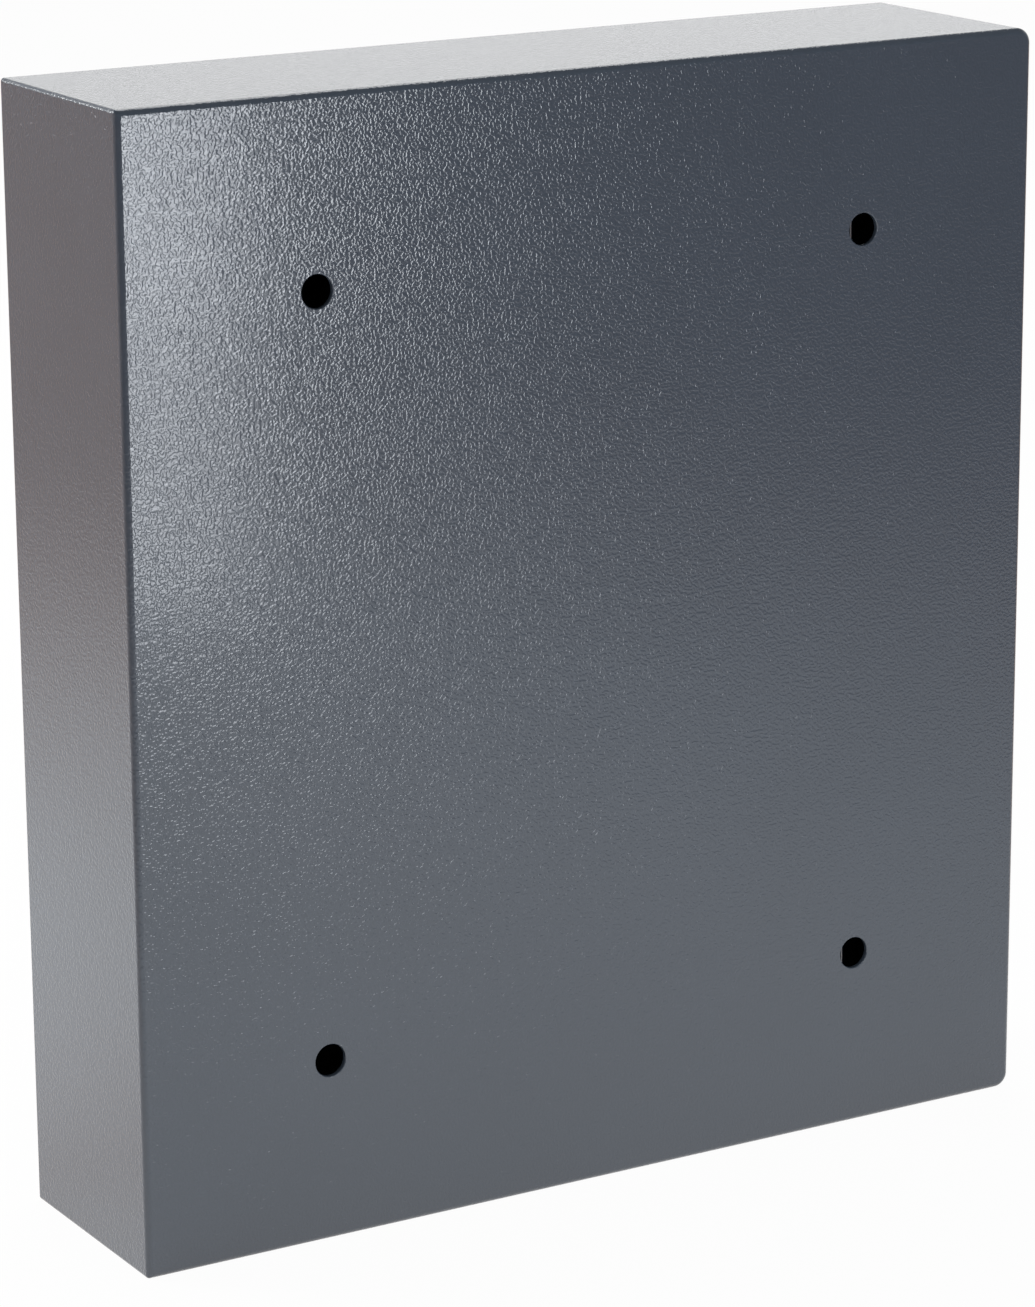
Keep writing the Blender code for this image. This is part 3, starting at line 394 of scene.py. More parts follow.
def make_zinc_steel():
    material, start = new_finish("zinc_steel")
    lines = noise(start, 1.0, 3.0, stretch=ROLLING)
    cloud = noise(start, 12 * MM)
    base = colours["zinc_steel"]
    blue = (base[0] * 0.88, base[1] * 0.95, base[2] * 1.04, 1.0)
    end_finish(start, {"Base Color": between(start, cloud, shade(base, 1.0), blue), "Metallic": 1.0,
                       "Roughness": 0.28 + 0.16 * lines + 0.08 * cloud,
                       "Normal": relief(start, lines, 0.004 * MM)})
    return material


def make_turned(slot, axis, roughness):
    material, start = new_finish(slot + "_" + axis.lower())
    along = tuple(1.0 if letter == axis else 0.02 for letter in "XYZ")
    rings = noise(start, TOOL_MARK, stretch=along)
    smear = noise(start, 4 * MM)
    end_finish(start, {"Base Color": mottled(start, smear, colours[slot], 0.92, 1.04), "Metallic": 1.0,
                       "Roughness": roughness + 0.10 * rings + 0.06 * smear,
                       "Normal": relief(start, rings, 0.0025 * MM)})
    return material


zinc_steel = make_zinc_steel()
bright_steel = {axis: make_turned("bright_steel", axis, 0.16) for axis in "XYZ"}
brass = {axis: make_turned("brass", axis, 0.20) for axis in "YZ"}
print("metals: zinc plate, bright steel on 3 axes, brass on 2")

# %% [markdown]
# ## Plastics, rubber and print
#
# Moulded plastic takes its surface from the mould. The housing and knob come from a spark-eroded mould
# with a fine sandy grain, the keys from a smoother one. Both are noise at the scale of that grain, with
# the gloss broken up by the same noise. Digits and marks are ink, printed a hair above the surface.

# %% Moulded finishes
SPARK = 0.28 * MM


def make_moulded(name, slot, roughness, grain, depth, coat=0.0, factor=1.0):
    material, start = new_finish(name)
    sand = noise(start, grain)
    cloud = noise(start, 25 * MM)
    colour = mottled(start, cloud, colours[slot], 0.92 * factor, 1.08 * factor)
    end_finish(start, {"Base Color": colour, "Roughness": roughness + 0.14 * sand, "Coat Weight": coat,
                       "Coat Roughness": 0.08, "Normal": relief(start, sand, depth)})
    return material


black_plastic = make_moulded("black_plastic", "black_plastic", 0.38, SPARK, 0.020 * MM)
key_plastic = make_moulded("key_grey", "key_grey", 0.40, 0.5 * SPARK, 0.006 * MM)
smoked_plastic = make_moulded("window_smoke", "window_smoke", 0.06, 2 * SPARK, 0.001 * MM, 0.6)
red_plastic = make_moulded("reset_red", "reset_red", 0.30, SPARK, 0.006 * MM)
cable_rubber = make_moulded("lead_black", "lead_black", 0.50, SPARK, 0.010 * MM)
dark_print = make_moulded("dark_print", "black_plastic", 0.42, SPARK, 0.002 * MM)
pale_print = make_moulded("pale_print", "key_grey", 0.42, SPARK, 0.002 * MM, factor=1.7)
print("moulded finishes: 7")

# %% [markdown]
# ## Board, coil, cells and felt
#
# The key board is lacquered glass fibre with copper tracks under the green, drawn by a brick pattern with
# thin joints. The coil is wire under amber tape, so it has fine even lines. The cells have a plain
# metallic sleeve. The mat is pressed felt: two layers of stretched noise that cross, like fibres that lie
# every way.

# %% Finishes of the inner pieces
TRACK_PITCH = 3.2 * MM
WIRE_PITCH = 0.4 * MM
FLAKE = 0.15 * MM
FIBRE = 0.30 * MM
TUFT = 6 * MM


def make_board_green():
    material, start = new_finish("board_green")
    tracks = start.node("ShaderNodeTexBrick", None,
                        {"Vector": place_on(start), "Scale": 1.0, "Mortar Size": 0.3 * MM,
                         "Brick Width": 3 * TRACK_PITCH, "Row Height": TRACK_PITCH}, "Fac")
    base = colours["board_green"]
    copper = (base[0] * 3.0, base[1] * 1.6, base[2] * 1.2, 1.0)
    end_finish(start, {"Base Color": between(start, tracks, shade(base, 1.0), copper), "Roughness": 0.32,
                       "Normal": relief(start, tracks, 0.03 * MM)})
    return material


def make_coil_tape():
    material, start = new_finish("coil_tape")
    turns = start.node("ShaderNodeTexWave", {"bands_direction": "Z"},
                       {"Vector": place_on(start), "Scale": math.pi / 10 / WIRE_PITCH,
                        "Distortion": 0.4}, "Fac")
    end_finish(start, {"Base Color": mottled(start, turns, colours["coil_tape"], 0.70, 1.10),
                       "Roughness": 0.35, "Metallic": 0.3, "Normal": relief(start, turns, 0.06 * MM)})
    return material


def make_cell_sleeve():
    material, start = new_finish("cell_sleeve")
    flake = noise(start, FLAKE)
    end_finish(start, {"Base Color": mottled(start, flake, colours["cell_sleeve"], 0.85, 1.25),
                       "Roughness": 0.24 + 0.10 * flake, "Metallic": 0.7, "Coat Weight": 0.4})
    return material


def make_felt():
    material, start = new_finish("felt")
    first = noise(start, FIBRE, 3.0, 1.5, (1.0, 0.25, 1.0))
    second = noise(start, FIBRE, 3.0, 1.5, (0.25, 1.0, 1.0))
    tufts = noise(start, TUFT, 3.0)
    fibres = 0.5 * first + 0.5 * second
    colour = mottled(start, 0.6 * fibres + 0.4 * tufts, colours["felt"], 0.62, 1.38)
    end_finish(start, {"Base Color": colour, "Roughness": 0.95, "Sheen Weight": 0.35, "Sheen Roughness": 0.6,
                       "Normal": relief(start, fibres, 0.30 * MM)})
    return material


board_green = make_board_green()
coil_tape = make_coil_tape()
cell_sleeve = make_cell_sleeve()
felt = make_felt()
print("inner finishes: board, coil, cells, felt")

# %% [markdown]
# ## From rings to meshes
#
# Nearly every piece here is a stack of rings. A turned piece is a stack of circles, and a folded box, a
# door or a key is a stack of rectangles with round corners. One function joins any stack into a closed
# mesh, so the pieces only have to say what their rings are. The path that the rings follow gets its
# corners rounded first, because a real edge is never sharp and its thin highlight is what makes a mesh
# look solid.

# %% Paths with round corners, and rings joined to a mesh
EDGE_STEPS = 4
CORNER_STEPS = 10
TURN_STEPS = 72
CRISP = 0.2 * MM
WELD = 0.001 * MM
LONGEST_REACH = 0.45


def rounded_path(corners, closed=False, steps=EDGE_STEPS):
    """Points along a path. Each corner is (across, along, radius), with its radius cut to fit."""
    points = []
    count = len(corners)
    for index, (across, along, radius) in enumerate(corners):
        here = Vector((across, along))
        if radius == 0 or (not closed and index in (0, count - 1)):
            points.append(here)
            continue
        before = Vector(corners[index - 1][:2]) - here
        after = Vector(corners[(index + 1) % count][:2]) - here
        half = before.angle(after) / 2
        longest = LONGEST_REACH * min(before.length, after.length)
        reach = min(radius / math.tan(half), longest)
        start = here + before.normalized() * reach
        end = here + after.normalized() * reach
        radius = reach * math.tan(half)
        centre = here + (before.normalized() + after.normalized()).normalized() * radius / math.sin(half)
        for step in range(steps + 1):
            spoke = (start - centre).lerp(end - centre, step / steps)
            points.append(centre + spoke.normalized() * radius)
    return points


def skin(rings, closed=False):
    """A mesh of faces between rings of points. A ring of one point is a tip, and open ends get a flat cap."""
    shape = bmesh.new()
    made = [[shape.verts.new(point) for point in ring] for ring in rings]
    pairs = list(zip(made, made[1:]))
    if closed:
        pairs.append((made[-1], made[0]))
    for first, second in pairs:
        for index in range(max(len(first), len(second))):
            following = index + 1
            corners = [first[index % len(first)], first[following % len(first)],
                       second[following % len(second)], second[index % len(second)]]
            shape.faces.new(list(dict.fromkeys(corners)))
    for ring in (made[0], made[-1]):
        if len(ring) > 2 and not closed:
            shape.faces.new(ring)
    bmesh.ops.recalc_face_normals(shape, faces=shape.faces)
    return shape


def stand(axis, across, beside, along):
    """A point from two places across an axis and one along it."""
    orders = {"X": (along, across, beside), "Y": (across, along, beside), "Z": (across, beside, along)}
    return Vector(orders[axis])


def turned(path, axis, centre, closed=False, steps=TURN_STEPS):
    """A turned mesh. The path holds (radius, place on the axis)."""
    rings = []
    for radius, along in path:
        angles = [2 * math.pi * step / steps for step in range(steps)] if radius > WELD else [0]
        rings.append([stand(axis, centre[0] + radius * math.cos(angle),
                            centre[1] + radius * math.sin(angle), along) for angle in angles])
    return skin(rings, closed)


def slab(path, half_width, half_height, corner, axis, centre, least=CRISP, steps=CORNER_STEPS):
    """A rectangle with round corners, carried along an axis. The path holds (inset, place on the axis).

    The corner is one radius or four, and least is the smallest radius that an inner corner may have."""
    corners = corner if isinstance(corner, tuple) else (corner,) * 4
    rings = []
    for inset, along in path:
        ring = []
        for quarter, (side, end) in enumerate(((1, 1), (-1, 1), (-1, -1), (1, -1))):
            radius = max(corners[quarter] - inset, min(least, CRISP + max(inset, 0)))
            across = centre[0] + side * (half_width - inset - radius)
            beside = centre[1] + end * (half_height - inset - radius)
            for step in range(steps + 1):
                angle = math.pi / 2 * (quarter + step / steps)
                ring.append(stand(axis, across + radius * math.cos(angle),
                                  beside + radius * math.sin(angle), along))
        rings.append(ring)
    return skin(rings)


print("rings: %d steps in a turn, %d in a corner" % (TURN_STEPS, CORNER_STEPS))

# %% [markdown]
# ## From mesh to piece
#
# A mesh becomes a piece in a few steps: cut the openings with Boolean, shade it smooth except at true
# edges, and weigh the normals by the size of the faces, so that a flat stays flat beside a small round
# edge. Modifiers are turned into plain mesh at once. Then the piece gets its finish and rides on a body,
# and the solid it stands for is hidden.

# %% Helpers for pieces
SMOOTH_BELOW = math.radians(32)
FLAT_BELOW = math.radians(1)
NEAR = 0.005 * MM
RIM_STEPS = 5
RIM_OVERLAP = 1.12
ACROSS = {"X": (1, 2), "Y": (0, 2), "Z": (0, 1)}


def new_object(name, shape):
    mesh = bpy.data.meshes.new(name)
    shape.to_mesh(mesh)
    shape.free()
    obj = bpy.data.objects.new(name, mesh)
    bpy.context.scene.collection.objects.link(obj)
    return obj


def settle(obj):
    """Turns what the modifiers make into the object's own plain mesh."""
    graph = bpy.context.evaluated_depsgraph_get()
    mesh = bpy.data.meshes.new_from_object(obj.evaluated_get(graph))
    obj.modifiers.clear()
    old = obj.data
    obj.data = mesh
    bpy.data.meshes.remove(old)
    mesh.name = obj.name
    return obj


def carve(obj, shapes, operation="DIFFERENCE"):
    """Cuts several shapes out of an object, or joins them to it."""
    for shape in shapes:
        tool = new_object(obj.name + "_tool", shape)
        boolean = obj.modifiers.new("carve", "BOOLEAN")
        boolean.operation = operation
        boolean.solver = "EXACT"
        boolean.object = tool
        settle(obj)
        bpy.data.objects.remove(tool, do_unlink=True)


def finish(obj, material, body, slot, *nodes):
    """Shades a piece, gives it its finish and body, and hides the solids it stands for."""
    obj.data.shade_smooth()
    obj.data.set_sharp_from_angle(angle=SMOOTH_BELOW)
    normals = obj.modifiers.new("normals", "WEIGHTED_NORMAL")
    normals.keep_sharp = True
    settle(obj)
    obj.data.materials.clear()
    obj.data.materials.append(material)
    if body:
        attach(obj, body)
    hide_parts(*nodes)


def second_finish(obj, material, belongs):
    """Gives a second finish to the faces whose middle and normal pass a test, and counts them."""
    obj.data.materials.append(material)
    chosen = [face for face in obj.data.polygons if belongs(face.center, face.normal)]
    for face in chosen:
        face.material_index = 1
    return len(chosen)


def measured(node):
    """A solid's lowest and highest corners, its centre and half its size."""
    low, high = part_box(node)
    return low, high, (low + high) / 2, (high - low) / 2


def merged(node):
    """A copy of a solid's mesh with its loose triangles joined."""
    shape = bmesh.new()
    shape.from_mesh(frame["nodes"][node].data)
    bmesh.ops.remove_doubles(shape, verts=shape.verts, dist=WELD)
    return shape


def softened(node, edge, steps=2):
    """A copy of a solid with its flats in one piece and its edges rounded."""
    shape = merged(node)
    bmesh.ops.dissolve_limit(shape, angle_limit=FLAT_BELOW, verts=shape.verts, edges=shape.edges)
    sharp = [line for line in shape.edges if line.calc_face_angle(0) > SMOOTH_BELOW]
    bmesh.ops.bevel(shape, geom=sharp, offset=edge, segments=steps, profile=0.5, affect="EDGES",
                    clamp_overlap=True)
    return shape


def turned_path(node, axis, edge):
    """The outline of a turned solid, read on one side of its axis, with softened corners."""
    shape = merged(node)
    centre = measured(node)[2]
    index = "XYZ".index(axis)
    across, beside = ACROSS[axis]
    side = [vert for vert in shape.verts if abs(vert.co[beside] - centre[beside]) < NEAR
            and vert.co[across] > centre[across] - NEAR]
    links = {vert: [line.other_vert(vert) for line in vert.link_edges if line.other_vert(vert) in side]
             for vert in side}
    ends = [vert for vert in side if len(links[vert]) == 1]
    walk = [ends[0] if ends else side[0]]
    while True:
        onward = [vert for vert in links[walk[-1]] if vert not in walk]
        if not onward:
            break
        walk.append(onward[0])
    corners = [(max(vert.co[across] - centre[across], 0.0), vert.co[index], edge) for vert in walk]
    if ends:
        corners = [(0.0, corners[0][1], 0.0)] + corners + [(0.0, corners[-1][1], 0.0)]
        corners = [corner for number, corner in enumerate(corners)
                   if number == 0 or corner[:2] != corners[number - 1][:2]]
    shape.free()
    return rounded_path(corners, closed=not ends), (centre[across], centre[beside]), not ends


def returned(node, axis, edge):
    """A turned solid with more steps and soft edges."""
    path, centre, closed = turned_path(node, axis, edge)
    return turned(path, axis, centre, closed)


def flare(radius, low, high, edge):
    """Half the outline of a cutter that leaves round rims at two faces: (how far out, place on the axis)."""
    angles = [math.pi / 2 * step / RIM_STEPS for step in range(RIM_STEPS + 1)]
    rise = [(edge * (1 - math.cos(angle)), edge * (1 - RIM_OVERLAP * math.sin(angle))) for angle in angles]
    bottom = [(radius + out, low + up) for out, up in reversed(rise)]
    top = [(radius + out, high - up) for out, up in rise]
    return [(radius + edge, low - edge)] + bottom + top + [(radius + edge, high + edge)]


def punch(axis, centre, radius, low, high, edge, steps=TURN_STEPS):
    """A round cutter that leaves round rims at two faces."""
    path = flare(radius, low, high, edge)
    return turned([(0, path[0][1])] + path + [(0, path[-1][1])], axis, centre, steps=steps)


def window_cutter(node, gap, corner, low, high, edge):
    """A cutter with round corners and rims, larger than a solid by a gap."""
    centre, half = measured(node)[2:]
    path = [(-out, along) for out, along in flare(0, low, high, edge)]
    return slab(path, half.x + gap, half.z + gap, corner, "Y", centre.xz, steps=4)


def drill(axis, centre, radius, low, high, steps=TURN_STEPS):
    """A plain round cutter between two places on an axis."""
    return turned([(0, low), (radius, low), (radius, high), (0, high)], axis, centre, steps=steps)


print("helpers ready")

# %% [markdown]
# ## The body shell
#
# The body is sheet of two millimetres, cut flat, folded into a box and welded, with the front edge folded
# in again as a lip around the door. It is the piece that the picture shows, so its folds have true radii:
# the corners at the far side are bent round, and those at the near side are welded and ground nearly
# sharp. The rings start on the back, turn over the fold, run down the sides, round the lip and back
# inside.

# %% The shell and its fixing holes
SHEET = 2 * MM
BENT_CORNER = 5 * MM
WELDED_CORNER = 1.2 * MM
FOLD = 2 * MM
FLAT_INSET = 12 * MM
DOOR_GAP = 2 * MM
OPENING_CORNER = 5 * MM
HOLE_RADIUS = 5.25 * MM
HOLE_EDGE = 0.6 * MM

shell_low, shell_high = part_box("body_shell")
lip = shell_high.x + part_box("door_panel")[0].x - DOOR_GAP
shell_path = rounded_path([
    (FLAT_INSET, 0, 0), (0, 0, FOLD), (0, shell_low.y, FOLD / 2),
    (lip, shell_low.y, 0.4 * MM), (lip, shell_low.y + SHEET, 0.4 * MM),
    (SHEET, shell_low.y + SHEET, FOLD / 2), (SHEET, -SHEET, FOLD / 2), (FLAT_INSET, -SHEET, 0)], steps=6)
shell_corners = (WELDED_CORNER, BENT_CORNER, BENT_CORNER, WELDED_CORNER)
shell = new_object("shell_skin", slab(shell_path, shell_high.x, shell_high.z, shell_corners, "Y", (0, 0),
                                      least=OPENING_CORNER))
holes = []
for opening in frame["record"]["physics"]["openings"]:
    if opening["name"].startswith("fixing_hole"):
        low, high = opening["box_m"]
        holes.append(((low[0] + high[0]) / 2, (low[2] + high[2]) / 2))
carve(shell, [punch("Y", hole, HOLE_RADIUS, -SHEET, 0, HOLE_EDGE) for hole in holes])
finish(shell, slate_coat, "cabinet", "slate_coat", "body_shell")
print("shell:", len(shell.data.polygons), "faces,", len(holes), "fixing holes")

# %% [markdown]
# ## The felt mat
#
# A strip of pressed felt lies loose on the floor of the body, so that what is kept there doesn't rattle.
# Cut felt has soft edges and lies flat by its own weight. A cloth simulation would give the same flat
# strip, so the mat is a slab with round edges, a little rounder above, and its fibres are in the finish.

# %% The mat
MAT_EDGE = 2.5 * MM

mat_low, mat_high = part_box("floor_mat")
mat_size = mat_high - mat_low
mat_centre = (mat_low + mat_high) / 2
mat_path = rounded_path([(MAT_EDGE, mat_low.z, 0), (0, mat_low.z, 0.5 * MM), (0, mat_high.z, 0.7 * MM),
                         (MAT_EDGE, mat_high.z, 0)])
mat_shape = slab(mat_path, mat_size.x / 2, mat_size.y / 2, 3 * MM, "Z", mat_centre.xy)
mat = new_object("floor_mat_felt", mat_shape)
finish(mat, felt, "cabinet", "felt", "floor_mat")
print("mat: %.0f by %.0f mm" % (mat_size.x / MM, mat_size.y / MM))

# %% [markdown]
# ## Hinges
#
# The door hangs on two pins that turn in brass bushes. A lug is welded inside the door at each end and
# holds the pin, and a folded bracket behind the lip holds the bush. Brackets and lugs keep the shape of
# their solids, so a softened copy is enough. Pins and bushes are turned again with more steps, from the
# outline of their solids.

# %% Brackets, lugs, pins and bushes
PLATE_EDGE = 0.4 * MM
TURNED_EDGE = 0.3 * MM

for level in ("upper", "lower"):
    bracket = new_object(level + "_bracket", softened(level + "_hinge_bracket", PLATE_EDGE))
    finish(bracket, slate_coat, "cabinet", "slate_coat", level + "_hinge_bracket")
    bush = new_object(level + "_bush", returned(level + "_hinge_bush", "Z", TURNED_EDGE))
    finish(bush, brass["Z"], "cabinet", "brass", level + "_hinge_bush")
    lug = new_object(level + "_lug", softened(level + "_hinge_lug", PLATE_EDGE))
    finish(lug, slate_coat, "door", "slate_coat", level + "_hinge_lug")
    pin = new_object(level + "_pin", returned(level + "_hinge_pin", "Z", TURNED_EDGE))
    finish(pin, bright_steel["Z"], "door", "bright_steel", level + "_hinge_pin")
print("hinges: pin", len(pin.data.polygons), "faces, bush", len(bush.data.polygons), "faces")

# %% [markdown]
# ## The door plate
#
# The door is a plate of four millimetres, cut by laser and coated like the body. Its outline and holes
# are in the solid, so a softened copy with a slightly larger edge is all it needs. The coat makes the
# edges rounder than the steel under it.

# %% The door plate
DOOR_EDGE = 0.7 * MM

door_plate = new_object("door_plate", softened("door_panel", DOOR_EDGE, 3))
finish(door_plate, slate_coat, "door", "slate_coat", "door_panel")
print("door:", len(door_plate.data.polygons), "faces")

# %% [markdown]
# ## The bolt work
#
# Behind the door a knob turns a crank, and the crank slides a plate with two round bolts. Plates are
# sheared and plated, so they get a softened copy with a small edge. Bolts, studs and the crank's pin are
# bar stock.

# %% Plates and bars of the bolt work
SHEET_EDGE = 0.25 * MM

plates = {"bolt_guide": "door", "bolt_carriage": "bolt_set", "crank_disc": "knob_set", "lock_nut": "door",
          "lock_cam": "plug_set", "solenoid_frame": "door"}
for node, body in plates.items():
    finish(new_object(node + "_plate", softened(node, SHEET_EDGE)), zinc_steel, body, "zinc_steel", node)
bars = {"upper_bolt": ("X", "bolt_set"), "lower_bolt": ("X", "bolt_set"), "upper_guide_stud": ("Y", "door"),
        "lower_guide_stud": ("Y", "door"), "spindle": ("Y", "knob_set"), "crank_pin": ("Y", "knob_set"),
        "lock_barrel": ("Y", "door"), "solenoid_plunger": ("Z", "plunger")}
for node, (axis, body) in bars.items():
    bar = new_object(node + "_bar", returned(node, axis, TURNED_EDGE))
    finish(bar, bright_steel[axis], body, "bright_steel", node)
sleeve = new_object("spindle_sleeve", returned("spindle_bush", "Y", TURNED_EDGE))
finish(sleeve, brass["Y"], "door", "brass", "spindle_bush")
print("bolt work:", len(plates), "plates,", len(bars), "bars and a bush")

# %% [markdown]
# ## The emergency lock's plug
#
# A brass plug turns in the barrel when the emergency key is pushed in. Its face shows the keyway: a
# narrow slot with a step to one side, so that only one kind of key goes in. It is turned like the bars,
# and the slot is two overlapping boxes with round corners that Boolean takes out.

# %% The plug and its keyway
KEYWAY_WIDTH = 1.2 * MM
KEYWAY_HEIGHT = 8 * MM
KEYWAY_DEPTH = 8 * MM
KEYWAY_STEP = 0.7 * MM

plug_low, _, plug_centre, _ = measured("lock_plug")


def keyway(shift, half_height):
    path = [(0, plug_low.y - MM), (0, plug_low.y + KEYWAY_DEPTH)]
    middle = (plug_centre.x + shift, plug_centre.z)
    return slab(path, KEYWAY_WIDTH / 2, half_height, 0.3 * MM, "Y", middle, steps=3)


plug = new_object("lock_plug_face", returned("lock_plug", "Y", TURNED_EDGE))
carve(plug, [keyway(0, KEYWAY_HEIGHT / 2), keyway(KEYWAY_STEP, KEYWAY_HEIGHT / 5)])
finish(plug, brass["Y"], "plug_set", "brass", "lock_plug")
print("plug:", len(plug.data.polygons), "faces")

# %% [markdown]
# ## The control panel
#
# The panel is a moulded hood: a thin wall with round corners and a soft front edge, open at the back,
# with a window for each key. Its rings run from the front face over the edge, down the side and back up
# inside. The windows are cut with flared cutters, because a moulded opening has a small radius at its
# rim.

# %% The panel's hood
PANEL_WALL = 2.5 * MM
PANEL_CORNER = 8 * MM
PANEL_EDGE = 2 * MM
PANEL_FLAT = 5 * MM
KEY_GAP = 0.4 * MM
KEY_CORNER = 1.4 * MM
RIM_EDGE = 0.35 * MM
SPINDLE_HOLE = 4.4 * MM
FIT = 0.3 * MM

panel_low, panel_high, panel_centre, panel_half = measured("keypad_housing")
panel_path = rounded_path([
    (PANEL_FLAT, panel_low.y, 0), (0, panel_low.y, PANEL_EDGE), (0, panel_high.y, CRISP),
    (PANEL_WALL, panel_high.y, CRISP), (PANEL_WALL, panel_low.y + PANEL_WALL, 0.8 * MM),
    (PANEL_FLAT, panel_low.y + PANEL_WALL, 0)], steps=6)
wall = (panel_low.y, panel_low.y + PANEL_WALL, RIM_EDGE)
key_nodes = sorted(name for name in frame["nodes"] if name.startswith("key_") and
                   name not in ("key_board", "key_cap"))
cap_low, cap_high, cap_centre, _ = measured("key_cap")
cap_hole = (cap_high.x - cap_low.x) / 2 + FIT
hood = new_object("panel_hood", slab(panel_path, panel_half.x, panel_half.z, PANEL_CORNER, "Y",
                                     panel_centre.xz, least=2 * MM))
carve(hood, [window_cutter(node, KEY_GAP, KEY_CORNER, *wall) for node in key_nodes])
carve(hood, [window_cutter("indicator_window", FIT, MM, *wall),
             punch("Y", measured("spindle")[2].xz, SPINDLE_HOLE, *wall),
             punch("Y", cap_centre.xz, cap_hole, *wall)])
finish(hood, black_plastic, "door", "black_plastic", "keypad_housing")
print("hood:", len(hood.data.polygons), "faces,", len(key_nodes), "key windows")

# %% [markdown]
# ## Keys and their digits
#
# Each key is moulded with a shallow dish for the finger. The digit lies in the flat of the dish as a film
# of ink. A picture could carry the digits, but letters made by a font curve stay sharp at any distance.
# The curve is made a mesh first and put in place after that, so its finish keeps to the same coordinates
# as every other piece.

# %% Keys with digits
KEY_EDGE = 0.7 * MM
KEY_RIM = 1.5 * MM
KEY_DISH = 3.0 * MM
KEY_FLAT = 4.5 * MM
DISH_DEPTH = 0.25 * MM
DIGIT_HEIGHT = 7.5 * MM
STROKE = 0.10 * MM
INK = 0.05 * MM
SIGNS = {"left": ("*", 1.9), "right": ("#", 1.0)}


def key_shape(node):
    low, high, centre, half = measured(node)
    path = rounded_path([
        (KEY_FLAT, high.y, 0), (0, high.y, 0.3 * MM), (0, low.y, KEY_EDGE), (KEY_RIM, low.y, 0.5 * MM),
        (KEY_DISH, low.y + DISH_DEPTH, 1.5 * MM), (KEY_FLAT, low.y + DISH_DEPTH, 0)])
    return slab(path, half.x, half.z, KEY_CORNER - KEY_GAP, "Y", centre.xz, steps=5)


def ink_sign(name, text, height, place):
    """A sign as a film of ink that faces the front."""
    letter = bpy.data.curves.new(name, "FONT")
    letter.body = text
    letter.size = height
    letter.offset = STROKE
    letter.extrude = INK
    flat = bpy.data.objects.new(name + "_curve", letter)
    bpy.context.scene.collection.objects.link(flat)
    shape = bmesh.new()
    graph = bpy.context.evaluated_depsgraph_get()
    shape.from_mesh(bpy.data.meshes.new_from_object(flat.evaluated_get(graph)))
    bpy.data.objects.remove(flat, do_unlink=True)
    bmesh.ops.remove_doubles(shape, verts=shape.verts, dist=WELD)
    across = [vert.co.x for vert in shape.verts]
    along = [vert.co.y for vert in shape.verts]
    middle = Vector((min(across) + max(across), min(along) + max(along), 0)) / 2
    upright = Matrix.Rotation(math.pi / 2, 4, "X") @ Matrix.Translation(-middle)
    bmesh.ops.transform(shape, matrix=Matrix.Translation(place) @ upright, verts=shape.verts)
    return new_object(name, shape)


for node in key_nodes:
    low, _, centre, _ = measured(node)
    label = node.removeprefix("key_")
    pad = new_object("pad_" + label, key_shape(node))
    finish(pad, key_plastic, "pad_key_" + label, "key_grey", node)
    face = Vector((centre.x, low.y + DISH_DEPTH, centre.z))
    text, stretch = SIGNS.get(label, (label, 1.0))
    sign = ink_sign("sign_" + label, text, DIGIT_HEIGHT * stretch, face)
    finish(sign, dark_print, "pad_key_" + label, "black_plastic")
print("keys:", len(key_nodes))

# %% [markdown]
# ## Growing what repeats
#
# Some details repeat by a rule: ridges round a knob, bars on a cover, domes under the keys, turns of a
# spring. Geometry Nodes make these. A tree has named inputs for its sizes, so one tree serves several
# pieces, and its result is turned into a plain mesh at once. The Signal class builds these trees as it
# builds the shaders.

# %% Helpers for geometry trees
def new_tree(name, **inputs):
    """A geometry tree with named inputs, returned with a signal for each input."""
    tree = bpy.data.node_groups.new(name, "GeometryNodeTree")
    tree.interface.new_socket("Geometry", in_out="OUTPUT", socket_type="NodeSocketGeometry")
    inputs = {"Geometry": "NodeSocketGeometry", **inputs, "Finish": "NodeSocketMaterial"}
    for title, kind in inputs.items():
        tree.interface.new_socket(title, in_out="INPUT", socket_type=kind)
    entry = tree.nodes.new("NodeGroupInput")
    return tree, {title: Signal(tree, entry.outputs[title]) for title in inputs}


def end_tree(geometry, finish_signal):
    real = geometry.node("GeometryNodeRealizeInstances", None, {"Geometry": geometry})
    coated = real.node("GeometryNodeSetMaterial", None, {"Geometry": real, "Material": finish_signal})
    coated.node("NodeGroupOutput", None, {"Geometry": coated})


def grown(name, tree, base=None, **values):
    """Runs a tree on an object and keeps the result as its plain mesh."""
    obj = bpy.data.objects.new(name, base or bpy.data.meshes.new(name))
    bpy.context.scene.collection.objects.link(obj)
    modifier = obj.modifiers.new("tree", "NODES")
    modifier.node_group = tree
    for item in tree.interface.items_tree:
        if item.in_out == "INPUT" and item.name in values:
            modifier[item.identifier] = values[item.name]
    return settle(obj)


print("trees: built with the same class as the shaders")

# %% [markdown]
# ## The knob
#
# The knob is a disc with a finger bar across it. The bar is drawn in at the middle, where finger and
# thumb hold it, and a pale line at its end shows which way it points. Fine ridges round the disc give
# grip. They are copies of one small rod on a circle, sunk halfway into the rim, so nothing stands out of
# the solid's outline.

# %% The knob and its ridges
KNOB_BASE = 6 * MM
KNOB_GRIP = 12 * MM
KNOB_EDGE = 1.4 * MM
KNOB_SCOOP = 0.16
KNOB_FLAT = 4 * MM
BAR_CUTS = 12
RIDGE = 0.55 * MM
RIDGE_COUNT = 72
MARK_LENGTH = 8 * MM
MARK_WIDTH = 1.4 * MM
FLOAT = "NodeSocketFloat"
WHOLE = "NodeSocketInt"

